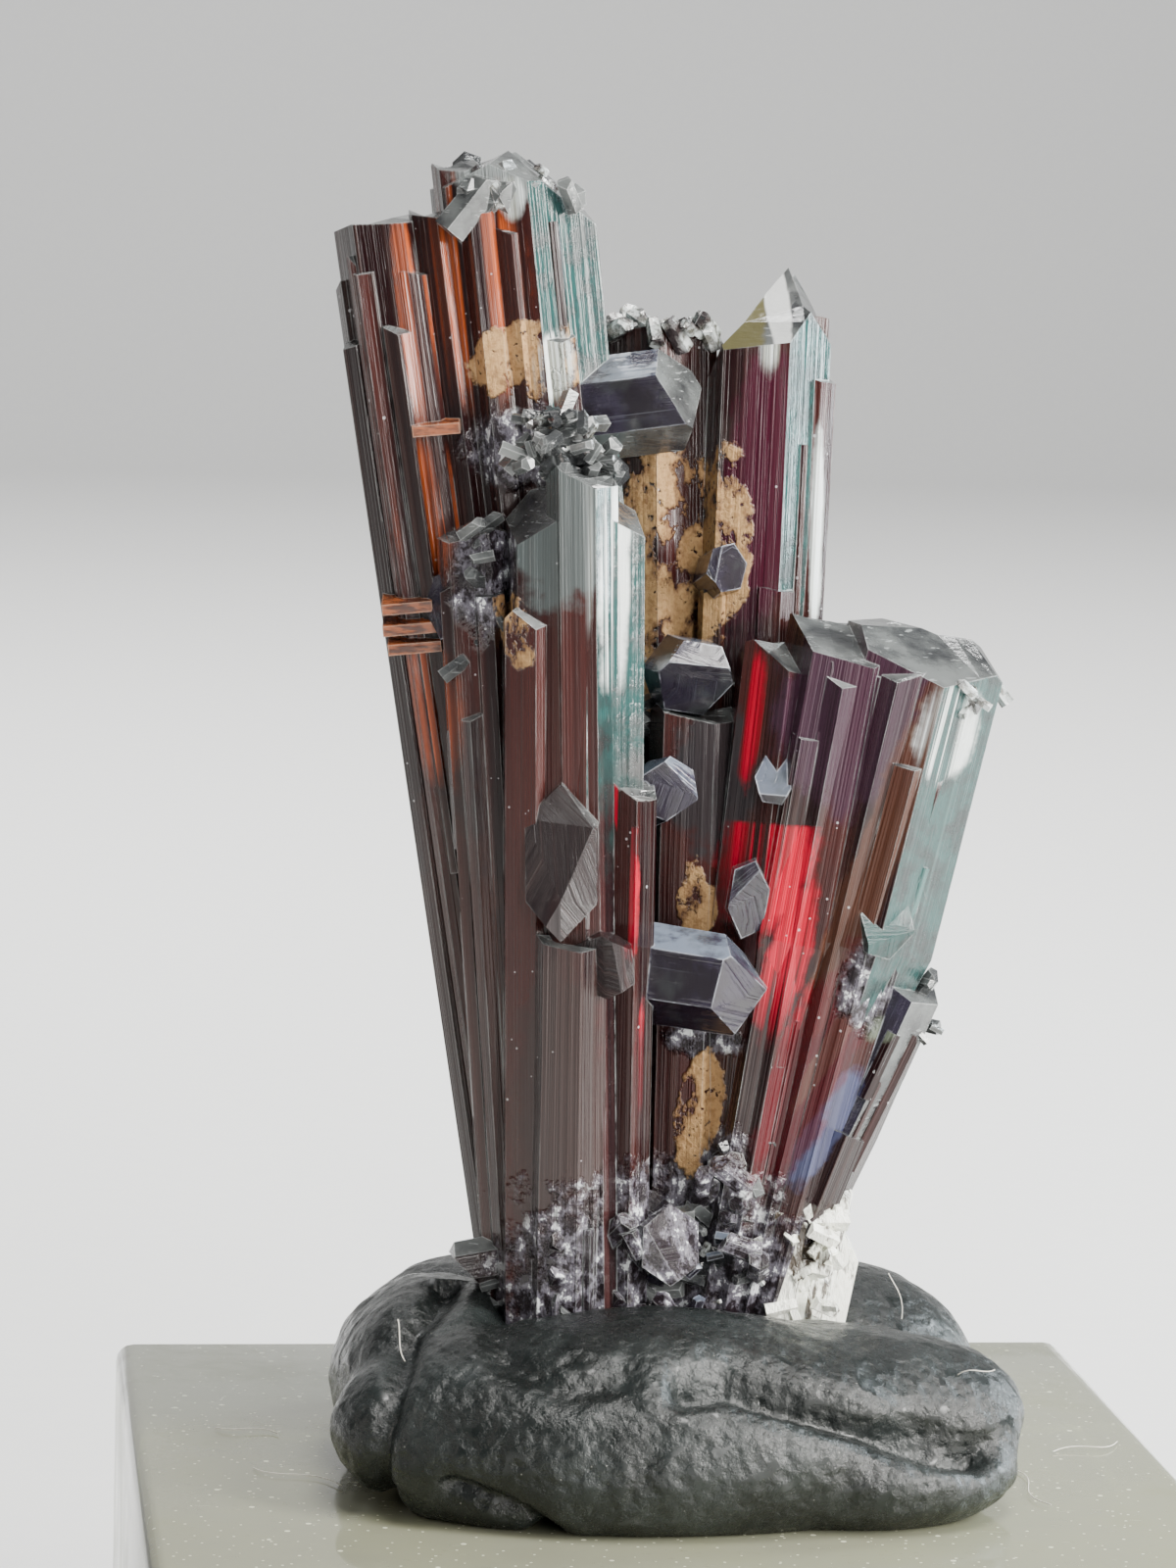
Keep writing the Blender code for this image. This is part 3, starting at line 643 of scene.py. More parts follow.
class Cluster:
    """Grows the crystals one by one, from the same measures as the solids."""

    def __init__(self, finishes):
        self.finishes = finishes
        self.grown = []
        self.chance = random.Random(SEED)
        self.wear = random.Random(SEED + 1)

    def grow(self, foot, tip, wide, deep, ends=POINTED, sides=6, turn=0.0, corner=CORNER_SHARE,
             look=STRIATED, ridges=0):
        """A crystal from foot to tip; wide and deep each give its size at the foot and at the tip."""
        foot, tip = Vector(foot) * MM, Vector(tip) * MM
        length = (tip - foot).length
        bpy.ops.mesh.primitive_cylinder_add(vertices=sides, radius=0.5, depth=1.0)
        crystal = bpy.context.object
        crystal.rotation_euler.z = math.radians(turn)
        bpy.ops.object.transform_apply(location=False, rotation=True, scale=False)
        mode("EDIT")
        if corner:
            select_where(crystal, "edges", upright)
            bpy.ops.mesh.bevel(offset=corner / 2, segments=1, affect="EDGES")
        if ridges:
            self.ridge(crystal, ridges)
        for at_tip in (0, 1):
            select_where(crystal, "verts", lambda v: (v.co.z > 0) == bool(at_tip))
            girth = (wide[at_tip] * MM, deep[at_tip] * MM, 1)
            bpy.ops.transform.resize(value=girth, center_override=(0, 0, 0))
        bpy.ops.mesh.select_all(action="SELECT")
        bpy.ops.transform.translate(value=(0, 0, 0.5))
        bpy.ops.transform.resize(value=(1, 1, length), center_override=(0, 0, 0))
        for below, slope, facing in ends:
            trim(crystal, (0, 0, length - below * MM), sloped(slope, facing))
        if ridges:
            self.roughen_end(crystal, length)
        bpy.ops.mesh.select_all(action="SELECT")
        bpy.ops.mesh.quads_convert_to_tris()
        mode("OBJECT")
        self.finish(crystal, look, length, max(wide) * math.pi)
        lean = Vector((0, 0, 1)).rotation_difference(tip - foot)
        crystal.matrix_world = SPECIMEN @ Matrix.Translation(foot) @ lean.to_matrix().to_4x4()
        bpy.ops.object.transform_apply()
        if foot.z < (FOOT_Z + 0.5) * MM:
            mode("EDIT")
            trim(crystal, SPECIMEN @ Vector((0, 0, (FOOT_Z + FOOT_TRIM) * MM)), Vector((0, 0, -1)))
            mode("OBJECT")
        self.grown.append(crystal)
        return crystal

    def roughen_end(self, crystal, length):
        """Breaks up the faces that end a large crystal, with small steps and dents."""
        select_where(crystal, "faces", lambda f: f.normal.z > 0.3 and f.calc_center_median().z > length / 2)
        bpy.ops.mesh.quads_convert_to_tris()
        bpy.ops.mesh.subdivide(number_cuts=2)
        bm = bmesh.from_edit_mesh(crystal.data)
        depth = sizes().broken_depth
        for v in bm.verts:
            if v.co.z > length / 2 and all(f.normal.z > 0.3 for f in v.link_faces):
                v.co.z -= depth * self.wear.random()
        bmesh.update_edit_mesh(crystal.data)

    def ridge(self, crystal, ridges):
        """Divides the flats in strips and sets some of them back, as ridges along the crystal."""
        select_where(crystal, "edges", lambda e: not upright(e) and e.calc_length() > 0.2)
        bpy.ops.mesh.subdivide(number_cuts=ridges)
        bm = bmesh.from_edit_mesh(crystal.data)
        depth = sizes().ridge_depth
        for edge in bm.edges:
            if upright(edge):
                keep = 1.0 - depth * self.wear.random()
                for v in edge.verts:
                    v.co.xy = v.co.xy * keep
        bmesh.update_edit_mesh(crystal.data)

    def finish(self, crystal, look, length, girth):
        """Gives each face its finish, and the map its real size in millimetres."""
        for material in self.finishes:
            crystal.data.materials.append(material)
        side, right, cap = look
        for face in crystal.data.polygons:
            if abs(face.normal.z) > 0.25:
                face.material_index = cap
            else:
                face.material_index = right if face.normal.x > 0.55 else side
        shift = self.wear.uniform(0, 40)
        for item in crystal.data.uv_layers.active.data:
            item.uv = (item.uv.x * girth + shift, item.uv.y * length / MM + shift)

    def grow_laths(self, foot, tip, wide, deep, facings, size, drop, look=STRIATED):
        """Narrow crystals along a wider one; the lowest ends drop, a share of its length, below its tip."""
        for facing in facings:
            side = Vector((math.cos(math.radians(facing)), math.sin(math.radians(facing)), 0))
            reach = LATH_LIFT * self.chance.uniform(0.94, 1.06) / 2
            low = Vector((side.x * wide[0] * reach, side.y * deep[0] * reach, 0))
            high = Vector((side.x * wide[1] * reach, side.y * deep[1] * reach, 0))
            top = Vector(tip) + high
            top = Vector(foot) + low + (top - Vector(foot) - low) * (0.97 - self.chance.random() * drop)
            girth = size * self.chance.uniform(0.8, 1.2)
            ends = ((0.0, self.chance.uniform(8, 35), facing + self.chance.uniform(-40, 40)),)
            self.grow(Vector(foot) + low, top, (girth * 0.8, girth), (girth * 0.8, girth), ends, 6,
                      facing + 30, 0, look)


def left_group(cluster):
    """The tall prisms that lean to the left."""
    tall = dict(foot=(-0.5, 0.7, FOOT_Z), tip=(-4.3, 0.35, 31.9), wide=(3.5, 4.1), deep=(3.4, 3.9))
    cluster.grow(**tall, turn=12, look=RIGHT_REFLECTING, ridges=4,
                 ends=((0.15, 30, -40), (0.1, 20, 110), (0.2, 46, -4), (0.25, 24, 190)))
    cluster.grow_laths(**tall, facings=(-150, -118, -92, -66, 70, 105, 140), size=1.0, drop=0.12)
    outer = dict(foot=(-2.6, 0.1, FOOT_Z), tip=(-7.2, -0.1, 30.0), wide=(2.2, 2.4), deep=(2.4, 2.6))
    cluster.grow(**outer, turn=25, ends=((0.1, 8, 150), (0.1, 7, -40)), ridges=3)
    cluster.grow_laths(**outer, facings=(-165, -125, -88, -55, 120, 170), size=0.8, drop=0.07)
    cluster.grow((-1.7, -0.2, FOOT_Z), (-6.0, -0.45, 30.3), (1.5, 1.3), (1.6, 1.6), BLUNT, 6, 8, ridges=2)
    cluster.grow((-1.3, 0.0, FOOT_Z), (-5.5, 0.0, 31.4), (1.4, 1.2), (1.8, 1.8), BLUNT, 6, 20, ridges=2)


def front_group(cluster):
    """The stout prism in front, its shorter left neighbour and the laths between them."""
    stout = dict(foot=(-2.0, -2.1, FOOT_Z), tip=(-2.45, -2.5, 24.7), wide=(3.4, 3.5), deep=(3.2, 3.2))
    cluster.grow(**stout, turn=10, look=RIGHT_REFLECTING, ridges=4,
                 ends=((0.2, 12, -80), (0.6, 40, -20), (0.7, 42, -150), (0.6, 40, 70)))
    cluster.grow((-1.5, -2.6, FOOT_Z), (-2.3, -3.3, 24.6), (1.8, 1.7), (1.9, 1.9), SLANTED, 6, 22,
                 look=RIGHT_REFLECTING, ridges=2)
    cluster.grow((-2.9, -2.5, FOOT_Z), (-3.35, -3.0, 21.3), (1.6, 1.6), (1.8, 1.8), POINTED, 6, 5, ridges=2)
    cluster.grow((-2.2, -3.0, FOOT_Z), (-2.3, -3.7, 13.4), (1.9, 1.8), (1.6, 1.7), BLUNT, 6, 17, ridges=3)
    cluster.grow((-0.8, -2.3, FOOT_Z), (-0.9, -2.9, 17.2), (1.2, 1.2), (1.8, 1.8), SLANTED, 6, 9, ridges=2)
    short = dict(foot=(-3.1, -1.5, FOOT_Z), tip=(-4.75, -1.7, 22.9), wide=(1.6, 2.0), deep=(1.9, 2.0))
    cluster.grow(**short, turn=18, ends=((0.2, 16, -150), (0.1, 18, 10)), ridges=3)
    cluster.grow_laths(**short, facings=(-150, -110, -75), size=0.8, drop=0.4)


def back_group(cluster):
    """The upright prism on the right, the broken one in the middle and those behind."""
    right = dict(foot=(1.6, 1.1, FOOT_Z), tip=(2.1, 1.5, 29.4), wide=(2.8, 3.2), deep=(3.2, 3.5))
    cluster.grow(**right, turn=20, look=RIGHT_REFLECTING, ridges=3,
                 ends=((-0.3, 58, -5), (0.5, 30, 175), (0.9, 44, -110), (1.1, 60, 165)))
    cluster.grow_laths(**right, facings=(-135, -70, -12, 25, 110), size=1.0, drop=0.3)
    middle = dict(foot=(0.2, 1.3, FOOT_Z), tip=(-0.6, 1.9, 27.6), wide=(3.0, 3.4), deep=(2.6, 2.8))
    cluster.grow(**middle, turn=0, ends=BROKEN, ridges=3)
    cluster.grow((-0.9, 2.4, FOOT_Z), (-5.1, 2.7, 28.3), (3.2, 3.5), (2.8, 3.0), SLANTED, 6, 33, look=BACK,
                 ridges=4)
    cluster.grow((-2.6, 1.8, FOOT_Z), (-6.5, 2.0, 25.0), (2.2, 2.4), (2.2, 2.4), POINTED, 6, 10, ridges=3)
    cluster.grow((0.6, 2.8, FOOT_Z), (-0.9, 3.9, 24.4), (2.8, 3.0), (2.4, 2.6), POINTED, 6, 22, look=BACK,
                 ridges=4)
    cluster.grow((1.9, 2.2, FOOT_Z), (2.3, 3.0, 21.4), (2.4, 2.6), (2.4, 2.8), SLANTED, 6, 5, look=BACK,
                 ridges=3)


def right_group(cluster):
    """The fan of prisms that leans to the right and ends in a broad cap."""
    cluster.grow((0.6, -0.8, FOOT_Z), (0.7, -0.6, 18.6), (2.3, 2.5), (2.4, 2.4), BLUNT, 6, 15, ridges=3)
    cap = ((0.55, 24, -80), (0.25, 14, 80), (-0.45, 40, -2), (0.3, 12, 175))
    outer = dict(foot=(1.9, -0.7, FOOT_Z), tip=(6.2, -1.15, 20.9), wide=(1.9, 4.0), deep=(2.6, 4.2))
    cluster.grow(**outer, turn=14, ends=cap, look=RIGHT_REFLECTING, ridges=4)
    cluster.grow_laths(**outer, facings=(-135, -108, -82, -56), size=1.0, drop=0.16)
    inner = dict(foot=(1.2, -0.9, FOOT_Z), tip=(4.3, -1.2, 21.0), wide=(1.7, 3.0), deep=(2.4, 3.7))
    cluster.grow(**inner, turn=24, ends=((0.5, 22, -85), (0.2, 16, 120)), ridges=4)
    cluster.grow_laths(**inner, facings=(-120, -92, -64), size=0.9, drop=0.2)
    cluster.grow((1.0, -0.8, FOOT_Z), (2.7, -1.1, 20.4), (1.6, 2.4), (2.2, 2.9), SLANTED, 6, 4, ridges=4)
    cluster.grow((1.8, 0.7, FOOT_Z), (4.7, 1.0, 18.2), (2.2, 3.0), (2.2, 3.0), POINTED, 6, 17, ridges=3)
    cluster.grow((3.4, -1.3, 9.6), (6.15, -1.5, 15.1), (1.2, 1.5), (1.8, 2.0),
                 ((0.2, 50, -10), (0.2, 30, 170)), look=RIGHT_REFLECTING)


def low_right_group(cluster):
    """Short prisms that spread out low on the right, and the splintered patch under them."""
    cluster.grow((1.7, -0.9, 2.2), (5.85, -1.2, 12.2), (1.4, 1.9), (2.2, 2.4), BLUNT, 6, 12,
                 look=(VIOLET, CAP, CAP), ridges=3)
    cluster.grow((1.9, -0.2, 2.0), (5.3, 0.4, 10.3), (1.6, 1.8), (2.0, 2.2), SLANTED, 6, 30, ridges=3)
    cluster.grow((2.0, -1.3, 2.0), (4.35, -1.7, 8.6), (1.2, 1.3), (1.5, 1.6), BROKEN, 6, 8, ridges=2)
    for i in range(6):
        along = i / 5
        foot = (2.5 + 1.3 * along, -1.9 + 1.9 * along, FOOT_Z)
        tip = (3.3 + 1.3 * along, -2.0 + 2.3 * along, 6.2 + 0.9 * math.sin(1.9 * i + 0.6))
        ends = ((0.1, 35 + 9 * (i % 3), -30 + 25 * (i % 2)),)
        cluster.grow(foot, tip, (0.9, 1.0), (1.0, 0.9), ends, 5, 20 * i, 0, SPLINTERED)


def cross_crystals(cluster):
    """Short crystals that lie across the prisms."""
    cluster.grow((-2.6, 0.3, 25.4), (0.5, -0.7, 25.9), (2.5, 2.5), (2.3, 2.2),
                 ((0.0, 30, 20), (0.3, 26, 180)), 6, 14, look=(VIOLET, CAP, CAP))
    cluster.grow((-1.2, -1.9, 12.3), (2.45, -3.2, 12.0), (2.5, 2.4), (2.2, 2.1),
                 ((0.0, 38, 10), (0.2, 42, 150), (0.5, 30, -100)), 6, 4, look=GLASSY)


def small_crystals(cluster):
    """Small crystals seated on the flanks: where each is rooted, its tip, width and height."""
    seats = (
        ((-2.5, -2.6, 15.2), (-2.55, -4.75, 15.0), 3.5, 1.9),
        ((-1.7, -2.4, 12.8), (-1.45, -4.5, 12.6), 1.5, 1.6),
        ((-0.5, -1.4, 16.4), (0.1, -2.9, 16.8), 1.5, 1.3),
        ((0.2, -0.3, 19.2), (0.6, -2.2, 19.3), 1.9, 1.8),
        ((1.9, -1.5, 14.0), (1.9, -3.3, 14.2), 1.9, 1.0),
        ((1.0, 0.6, 21.5), (1.3, -1.0, 21.9), 1.2, 1.1),
        ((0.1, -1.5, 5.6), (0.3, -3.6, 5.9), 1.9, 1.6),
        ((2.6, -1.2, 17.2), (2.4, -2.9, 16.9), 1.2, 0.9),
        ((4.7, -1.0, 13.8), (5.3, -3.2, 13.6), 1.8, 1.3),
        ((-5.2, -0.6, 20.9), (-5.6, -2.1, 20.8), 1.6, 1.0),
        ((-3.4, -1.8, 5.2), (-5.0, -2.3, 5.0), 1.0, 1.2),
    )
    for i, (root, tip, high, wide) in enumerate(seats):
        ends = ((0.0, 12 + 5 * (i % 3), 40 * i), (0.3, 38, 40 * i + 150))
        look = {0: STONY, 1: STONY, 6: ROUGH, 8: TEAL, 10: STONY}.get(i, GLASSY)
        cluster.grow(root, tip, (wide * 1.1, wide), (high * 1.1, high), ends, 6, 11 * i, 0.2, look)


def ledges(cluster):
    """Thin plates that stand out across the left prisms as steps."""
    for x, z, wide in ((-5.75, 25.1, 1.6), (-6.35, 20.85, 1.7), (-6.25, 20.35, 1.9), (-6.15, 19.9, 1.8)):
        foot, tip = (x, -0.9, z - 0.13), (x - 0.03, -0.95, z + 0.13)
        cluster.grow(foot, tip, (wide, wide), (1.75, 1.75), (), 4, 45, 0, LEDGE)


def scatter(cluster, chance, spots, girths, ways, slopes, sides, root):
    """Crowds of small crystals: how many, about where, how spread, how wide and their look.

    girths, ways and slopes are the spans that the widths, directions and end faces are drawn from,
    and root is how deep a crystal starts, in its own widths.
    """
    for count, middle, spread, size, look in spots:
        for _ in range(count):
            seat = Vector(c + chance.uniform(-s, s) for c, s in zip(middle, spread))
            grown = size * chance.uniform(*girths)
            way = Vector(chance.uniform(*span) for span in ways).normalized()
            ends = ((0.0, chance.uniform(*slopes), chance.uniform(0, 360)),)
            cluster.grow(seat - way * grown * root, seat + way * grown * 0.5, (grown, grown * 0.9),
                         (grown, grown * 0.9), ends, sides, chance.uniform(0, 60), 0, look)


def druse(cluster):
    """Crusts of small crystals: on the broken tops and round the foot of the front."""
    spots = (
        (14, (-2.55, -2.6, 24.35), (1.1, 1.1, 0.3), 0.54, DULL),
        (12, (-0.5, 1.7, 27.45), (1.3, 1.0, 0.15), 0.468, BRIGHT),
        (22, (0.6, -2.4, 5.4), (1.9, 0.7, 2.3), 0.576, ROUGH),
        (8, (-1.4, -3.5, 5.0), (1.2, 0.4, 1.6), 0.54, ROUGH),
        (6, (5.85, -1.2, 11.9), (0.6, 0.7, 0.3), 0.432, DULL),
    )
    ways = ((-0.6, 0.6), (-1.0, -0.1), (0.1, 0.8))
    scatter(cluster, cluster.chance, spots, (0.7, 1.2), ways, (25, 45), 6, 1)


def slivers(cluster):
    """Thin splinters that lie along the prisms, as growth steps: foot, tip, half sizes and how they face."""
    prisms = (
        ((-0.5, 0.7, FOOT_Z), (-4.3, 0.35, 31.4), (1.72, 2.0), (1.68, 1.9), (-130, -40), 7),
        ((-2.6, 0.1, FOOT_Z), (-7.2, -0.1, 29.6), (1.08, 1.17), (1.17, 1.26), (-190, -50), 7),
        ((-2.0, -2.1, FOOT_Z), (-2.45, -2.5, 24.0), (1.66, 1.72), (1.56, 1.57), (-150, -70), 4),
        ((-2.2, -3.0, FOOT_Z), (-2.3, -3.7, 13.2), (0.92, 0.88), (0.78, 0.83), (-150, -20), 3),
        ((-3.1, -1.5, FOOT_Z), (-4.75, -1.7, 22.4), (0.78, 0.98), (0.92, 0.98), (-170, -80), 5),
        ((1.6, 1.1, FOOT_Z), (2.1, 1.5, 28.0), (1.36, 1.56), (1.56, 1.7), (-120, 20), 5),
        ((1.9, -0.7, FOOT_Z), (6.2, -1.15, 19.8), (0.93, 1.95), (1.27, 2.05), (-120, -40), 7),
        ((1.2, -0.9, FOOT_Z), (4.3, -1.2, 20.2), (0.83, 1.46), (1.17, 1.8), (-150, -60), 7),
        ((1.7, -0.9, 2.2), (5.85, -1.2, 12.0), (0.68, 0.93), (1.08, 1.17), (-120, 0), 5),
    )
    chance = random.Random(SEED + 2)
    for foot, tip, wide, deep, (first, last), count in prisms:
        foot, tip = Vector(foot), Vector(tip)
        for _ in range(count):
            facing = math.radians(chance.uniform(first, last))
            side = Vector((math.cos(facing), math.sin(facing), 0))
            start = chance.uniform(0.05, 0.75)
            ends_at = min(0.98, start + chance.uniform(0.1, 0.4))
            places = []
            for share in (start, ends_at):
                across = wide[0] + (wide[1] - wide[0]) * share
                along = deep[0] + (deep[1] - deep[0]) * share
                places.append(foot.lerp(tip, share) + Vector((side.x * across, side.y * along, 0)) * 0.9)
            girth = chance.uniform(0.18, 0.4)
            ends = ((0.0, chance.uniform(62, 78), chance.uniform(0, 360)),)
            cluster.grow(places[0], places[1], (girth, girth), (girth, girth * 0.8), ends, 6,
                         chance.uniform(0, 60), 0)


def fine_druse(cluster):
    """Very small crystals that sparkle on the broken tops, in the hollows and round the foot."""
    spots = (
        (34, (-2.7, -3.1, 24.7), (1.15, 0.9, 0.35), 0.36, DULL),
        (22, (-2.8, -2.8, 25.2), (0.8, 0.6, 0.35), 0.32, DULL),
        (8, (-2.8, -3.2, 25.0), (0.9, 0.6, 0.4), 0.22, BRIGHT),
        (20, (-0.8, 1.2, 27.35), (1.4, 0.9, 0.2), 0.36, BRIGHT),
        (18, (-4.1, -0.6, 30.45), (1.35, 0.8, 0.3), 0.62, DULL),
        (8, (-4.0, -0.8, 30.9), (1.1, 0.8, 0.3), 0.28, BRIGHT),
        (40, (0.6, -2.2, 5.2), (2.0, 0.35, 2.6), 0.4, DULL),
        (20, (0.0, -2.6, 4.6), (2.0, 0.35, 1.6), 0.3, GLASSY),
        (16, (0.3, -2.7, 4.6), (2.1, 0.35, 1.8), 0.22, BRIGHT),
        (12, (-4.4, -2.4, 21.4), (0.4, 0.5, 1.6), 0.3, DULL),
        (9, (6.1, -1.5, 11.5), (0.6, 0.6, 0.7), 0.28, DULL),
        (34, (3.5, -2.0, 5.0), (0.75, 0.4, 1.9), 0.42, SPLINTERED),
        (14, (3.2, -1.8, 6.9), (0.5, 0.4, 0.8), 0.4, SPLINTERED),
        (14, (2.4, -1.9, 7.6), (0.7, 0.4, 1.2), 0.3, DULL),
        (26, (-1.9, -4.2, 3.2), (1.1, 0.25, 1.4), 0.3, DULL),
        (12, (-1.7, -4.25, 3.0), (1.2, 0.25, 1.3), 0.24, GLASSY),
        (10, (-1.7, -4.3, 3.0), (1.2, 0.2, 1.3), 0.18, BRIGHT),
        (12, (-3.9, -2.2, 3.6), (0.6, 0.4, 1.2), 0.26, DULL),
        (8, (6.9, -1.8, 18.9), (0.8, 1.0, 0.5), 0.3, BRIGHT),
        (10, (0.1, -0.2, 17.9), (1.2, 0.5, 0.6), 0.36, DULL),
        (10, (1.4, -2.0, 10.9), (1.0, 0.8, 0.5), 0.3, DULL),
        (10, (-4.6, -2.0, 20.4), (0.7, 0.4, 1.2), 0.28, DULL),
    )
    ways = ((-1, 1), (-1, 0.3), (-0.4, 1))
    scatter(cluster, random.Random(SEED + 3), spots, (0.6, 1.4), ways, (20, 50), 5, 1.4)


def carry(piece, node):
    """Lets a finished piece stand for its solid."""
    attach(piece, "root")
    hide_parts(node)


# Operators


class SPECIMEN_OT_crystals(bpy.types.Operator):
    """Grow the crystals and join them in one cluster"""

    bl_idname = "specimen.crystals"
    bl_label = "Crystals"

    def execute(self, context):
        cluster = Cluster(crystal_finishes())
        for build in (left_group, front_group, back_group, right_group, low_right_group, cross_crystals,
                      small_crystals, ledges, druse, slivers, fine_druse):
            build(cluster)
        crystals = join(cluster.grown, "ruby_crystals")
        carry(crystals, "proustite_crystals")
        return {"FINISHED"}


def putty_finish():
    """Satin dark putty with fine dimples, a dusty bloom, pale specks painted as glints and shiny touched
    places.
    """
    paint = colours()
    skin = Skin("satin putty", paint.putty)
    grain = skin.noise(5.5, 5.0, 0.6)
    cloud = skin.noise(0.45, 4.0, 0.55)
    skin.coat(skin.step(cloud, 0.4, 0.65), (0.016, 0.02, 0.0195))
    # Painted glints: small pale specks.
    painted_glint_specks = skin.math("LESS_THAN", skin.cells(2.4), 0.05)
    skin.coat(skin.times(painted_glint_specks, 0.5), (0.3, 0.3, 0.28))
    skin.set(Roughness=skin.step(grain, 0.3, 0.7, 0.2, 0.36), IOR=1.5)
    pits = skin.cells(3.4, "SMOOTH_F1", 1.0)
    glitter = skin.noise(14.0, 3.0, 0.6)
    height = skin.plus(skin.times(grain, 0.5), skin.times(glitter, 0.3))
    skin.bump(skin.plus(height, pits), 0.075 * MM)
    return skin.material


# Creases on the front of the putty, as seen from the front: line, depth and width in mm.
CREASES = (
    (((0.6, 3.5), (1.6, 3.6), (2.85, 3.25), (4.0, 2.85), (5.1, 2.4), (6.25, 2.1), (7.6, 1.75)), 0.75, 0.3),
    (((-5.0, 4.6), (-5.8, 3.95), (-6.1, 3.15), (-6.4, 2.2), (-6.45, 1.0), (-6.1, 0.0)), 0.45, 0.28),
    (((-4.7, 1.1), (-3.8, 0.8), (-2.9, 0.4), (-2.4, 0.0)), 0.4, 0.25),
    (((-3.6, 3.9), (-2.2, 3.4), (-0.8, 3.6)), 0.2, 0.3),
)


def crease_depth(place):
    """How far a point on the putty's front moves out, in mm: in along the creases, out beside them."""
    if place.y > -1.5:
        return 0.0
    moved = 0.0
    spot = Vector((place.x, place.z))
    for line, depth, width in CREASES:
        near = min(line_distance(spot, Vector(a), Vector(b)) for a, b in zip(line, line[1:])) / width
        moved += 0.06 * depth * math.exp(-((near - 2.6) / 1.3) ** 2) - depth * math.exp(-near * near)
    return moved


def line_distance(spot, start, end):
    """How far a point is from a straight line between two others."""
    along = end - start
    share = max(0.0, min(1.0, (spot - start).dot(along) / along.length_squared))
    return (spot - start - along * share).length


class SPECIMEN_OT_putty(bpy.types.Operator):
    """Press lobes of putty round the crystals' foot"""

    bl_idname = "specimen.putty"
    bl_label = "Putty"

    def execute(self, context):
        folds = (
            ((-0.4, -4.9, 1.7), (7.4, 4.15, 2.85), 3),
            ((4.6, -3.6, 2.1), (4.2, 2.9, 2.0), -10),
            ((5.0, -5.2, 1.1), (3.7, 2.7, 1.5), 12),
            ((-5.2, -1.6, 1.9), (2.7, 4.4, 2.7), 10),
            ((-4.6, 3.4, 1.6), (3.0, 3.2, 2.5), -30),
            ((4.5, 2.7, 1.8), (3.4, 3.7, 2.5), 20),
            ((0.2, 5.2, 1.5), (5.6, 3.1, 2.6), 6),
            ((0.0, 0.0, 1.2), (6.4, 6.4, 2.6), 0),
        )
        lobes = []
        for middle, size, turn in folds:
            bpy.ops.mesh.primitive_uv_sphere_add(segments=48, ring_count=24, radius=MM)
            lobe = bpy.context.object
            lobe.matrix_world = SPECIMEN @ Matrix.LocRotScale(
                Vector(middle) * MM, Matrix.Rotation(math.radians(turn), 3, "Z"), Vector(size))
            bpy.ops.object.transform_apply()
            lobes.append(lobe)
        putty = fuse(lobes[0], join(lobes[1:], "other lobes"))
        putty.name = putty.data.name = "pressed_putty"
        mode("EDIT")
        bpy.ops.mesh.select_all(action="SELECT")
        top = (0, 0, BLOCK_HIGH.z)
        bpy.ops.mesh.bisect(plane_co=top, plane_no=(0, 0, 1), use_fill=True, clear_inner=True)
        mode("OBJECT")
        remesh = putty.modifiers.new("one lump", "REMESH")
        remesh.mode = "VOXEL"
        remesh.voxel_size = sizes().putty_grain
        soften = putty.modifiers.new("soft folds", "SMOOTH")
        soften.factor = 0.5
        soften.iterations = 60
        apply_modifiers(putty)
        self.press(putty)
        bpy.ops.object.shade_smooth()
        putty.data.materials.clear()
        putty.data.materials.append(putty_finish())
        carry(putty, "mounting_putty")
        return {"FINISHED"}

    def press(self, putty):
        """Creases, dimples and finger marks, fading out on the flat underside."""
        depth = sizes().dimple_depth
        to_specimen = SPECIMEN.inverted()
        outward = [normal.vector.copy() for normal in putty.data.vertex_normals]
        for v, normal in zip(putty.data.vertices, outward):
            place = to_specimen @ v.co / MM
            fade = min(1.0, max(0.0, place.z / 0.5))
            marks = noise.noise(place * 0.3) * 1.6 + noise.noise(place * 1.9) * 0.42
            moved = v.co + normal * (depth * marks * fade + crease_depth(place) * MM)
            moved.z = max(moved.z, BLOCK_HIGH.z + 0.01 * MM)
            v.co = moved


def acrylic_finish():
    """Clear plastic, slightly hazy, with dust and fine scratches on top."""
    paint = colours()
    skin = Skin("dusty clear acrylic", paint.acrylic)
    dust = skin.math("LESS_THAN", skin.cells(1.3, "F1", 3.0), 0.09)
    fine_dust = skin.math("LESS_THAN", skin.cells(3.4, "F1", 8.0), 0.12)
    smear = skin.noise(0.22, 5.0, 0.65)
    scratch = skin.noise(1.2, 2.0, 0.5, (1, 12, 1), 5.0)
    scratch = skin.step(scratch, 0.7, 0.74)
    top = skin.facing((0, 0, 1), 0.6, 0.95)
    marks = skin.math("MAXIMUM", dust, skin.math("MAXIMUM", fine_dust, skin.times(scratch, 0.5)))
    haze = skin.plus(skin.times(marks, 0.6), skin.step(smear, 0.35, 0.75, 0.45, 0.75))
    clear = skin.math("SUBTRACT", 1.0, skin.times(haze, skin.step(top, 0.0, 1.0, 0.35, 1.0)))
    rough = skin.step(smear, 0.3, 0.75, 0.03, 0.22)
    skin.coat(haze, (0.12, 0.125, 0.05))
    skin.coat(skin.times(marks, 0.8), (0.8, 0.82, 0.62))
    skin.set(Roughness=rough, IOR=1.49, Transmission_Weight=clear)
    skin.bump(skin.plus(marks, scratch), 0.02 * MM)
    volume = skin.add("ShaderNodeVolumeAbsorption", Color=(0.6, 0.65, 0.3, 1.0), Density=95.0)
    output = skin.tree.nodes["Material Output"]
    skin.tree.links.new(volume.outputs["Volume"], output.inputs["Volume"])
    return skin.material


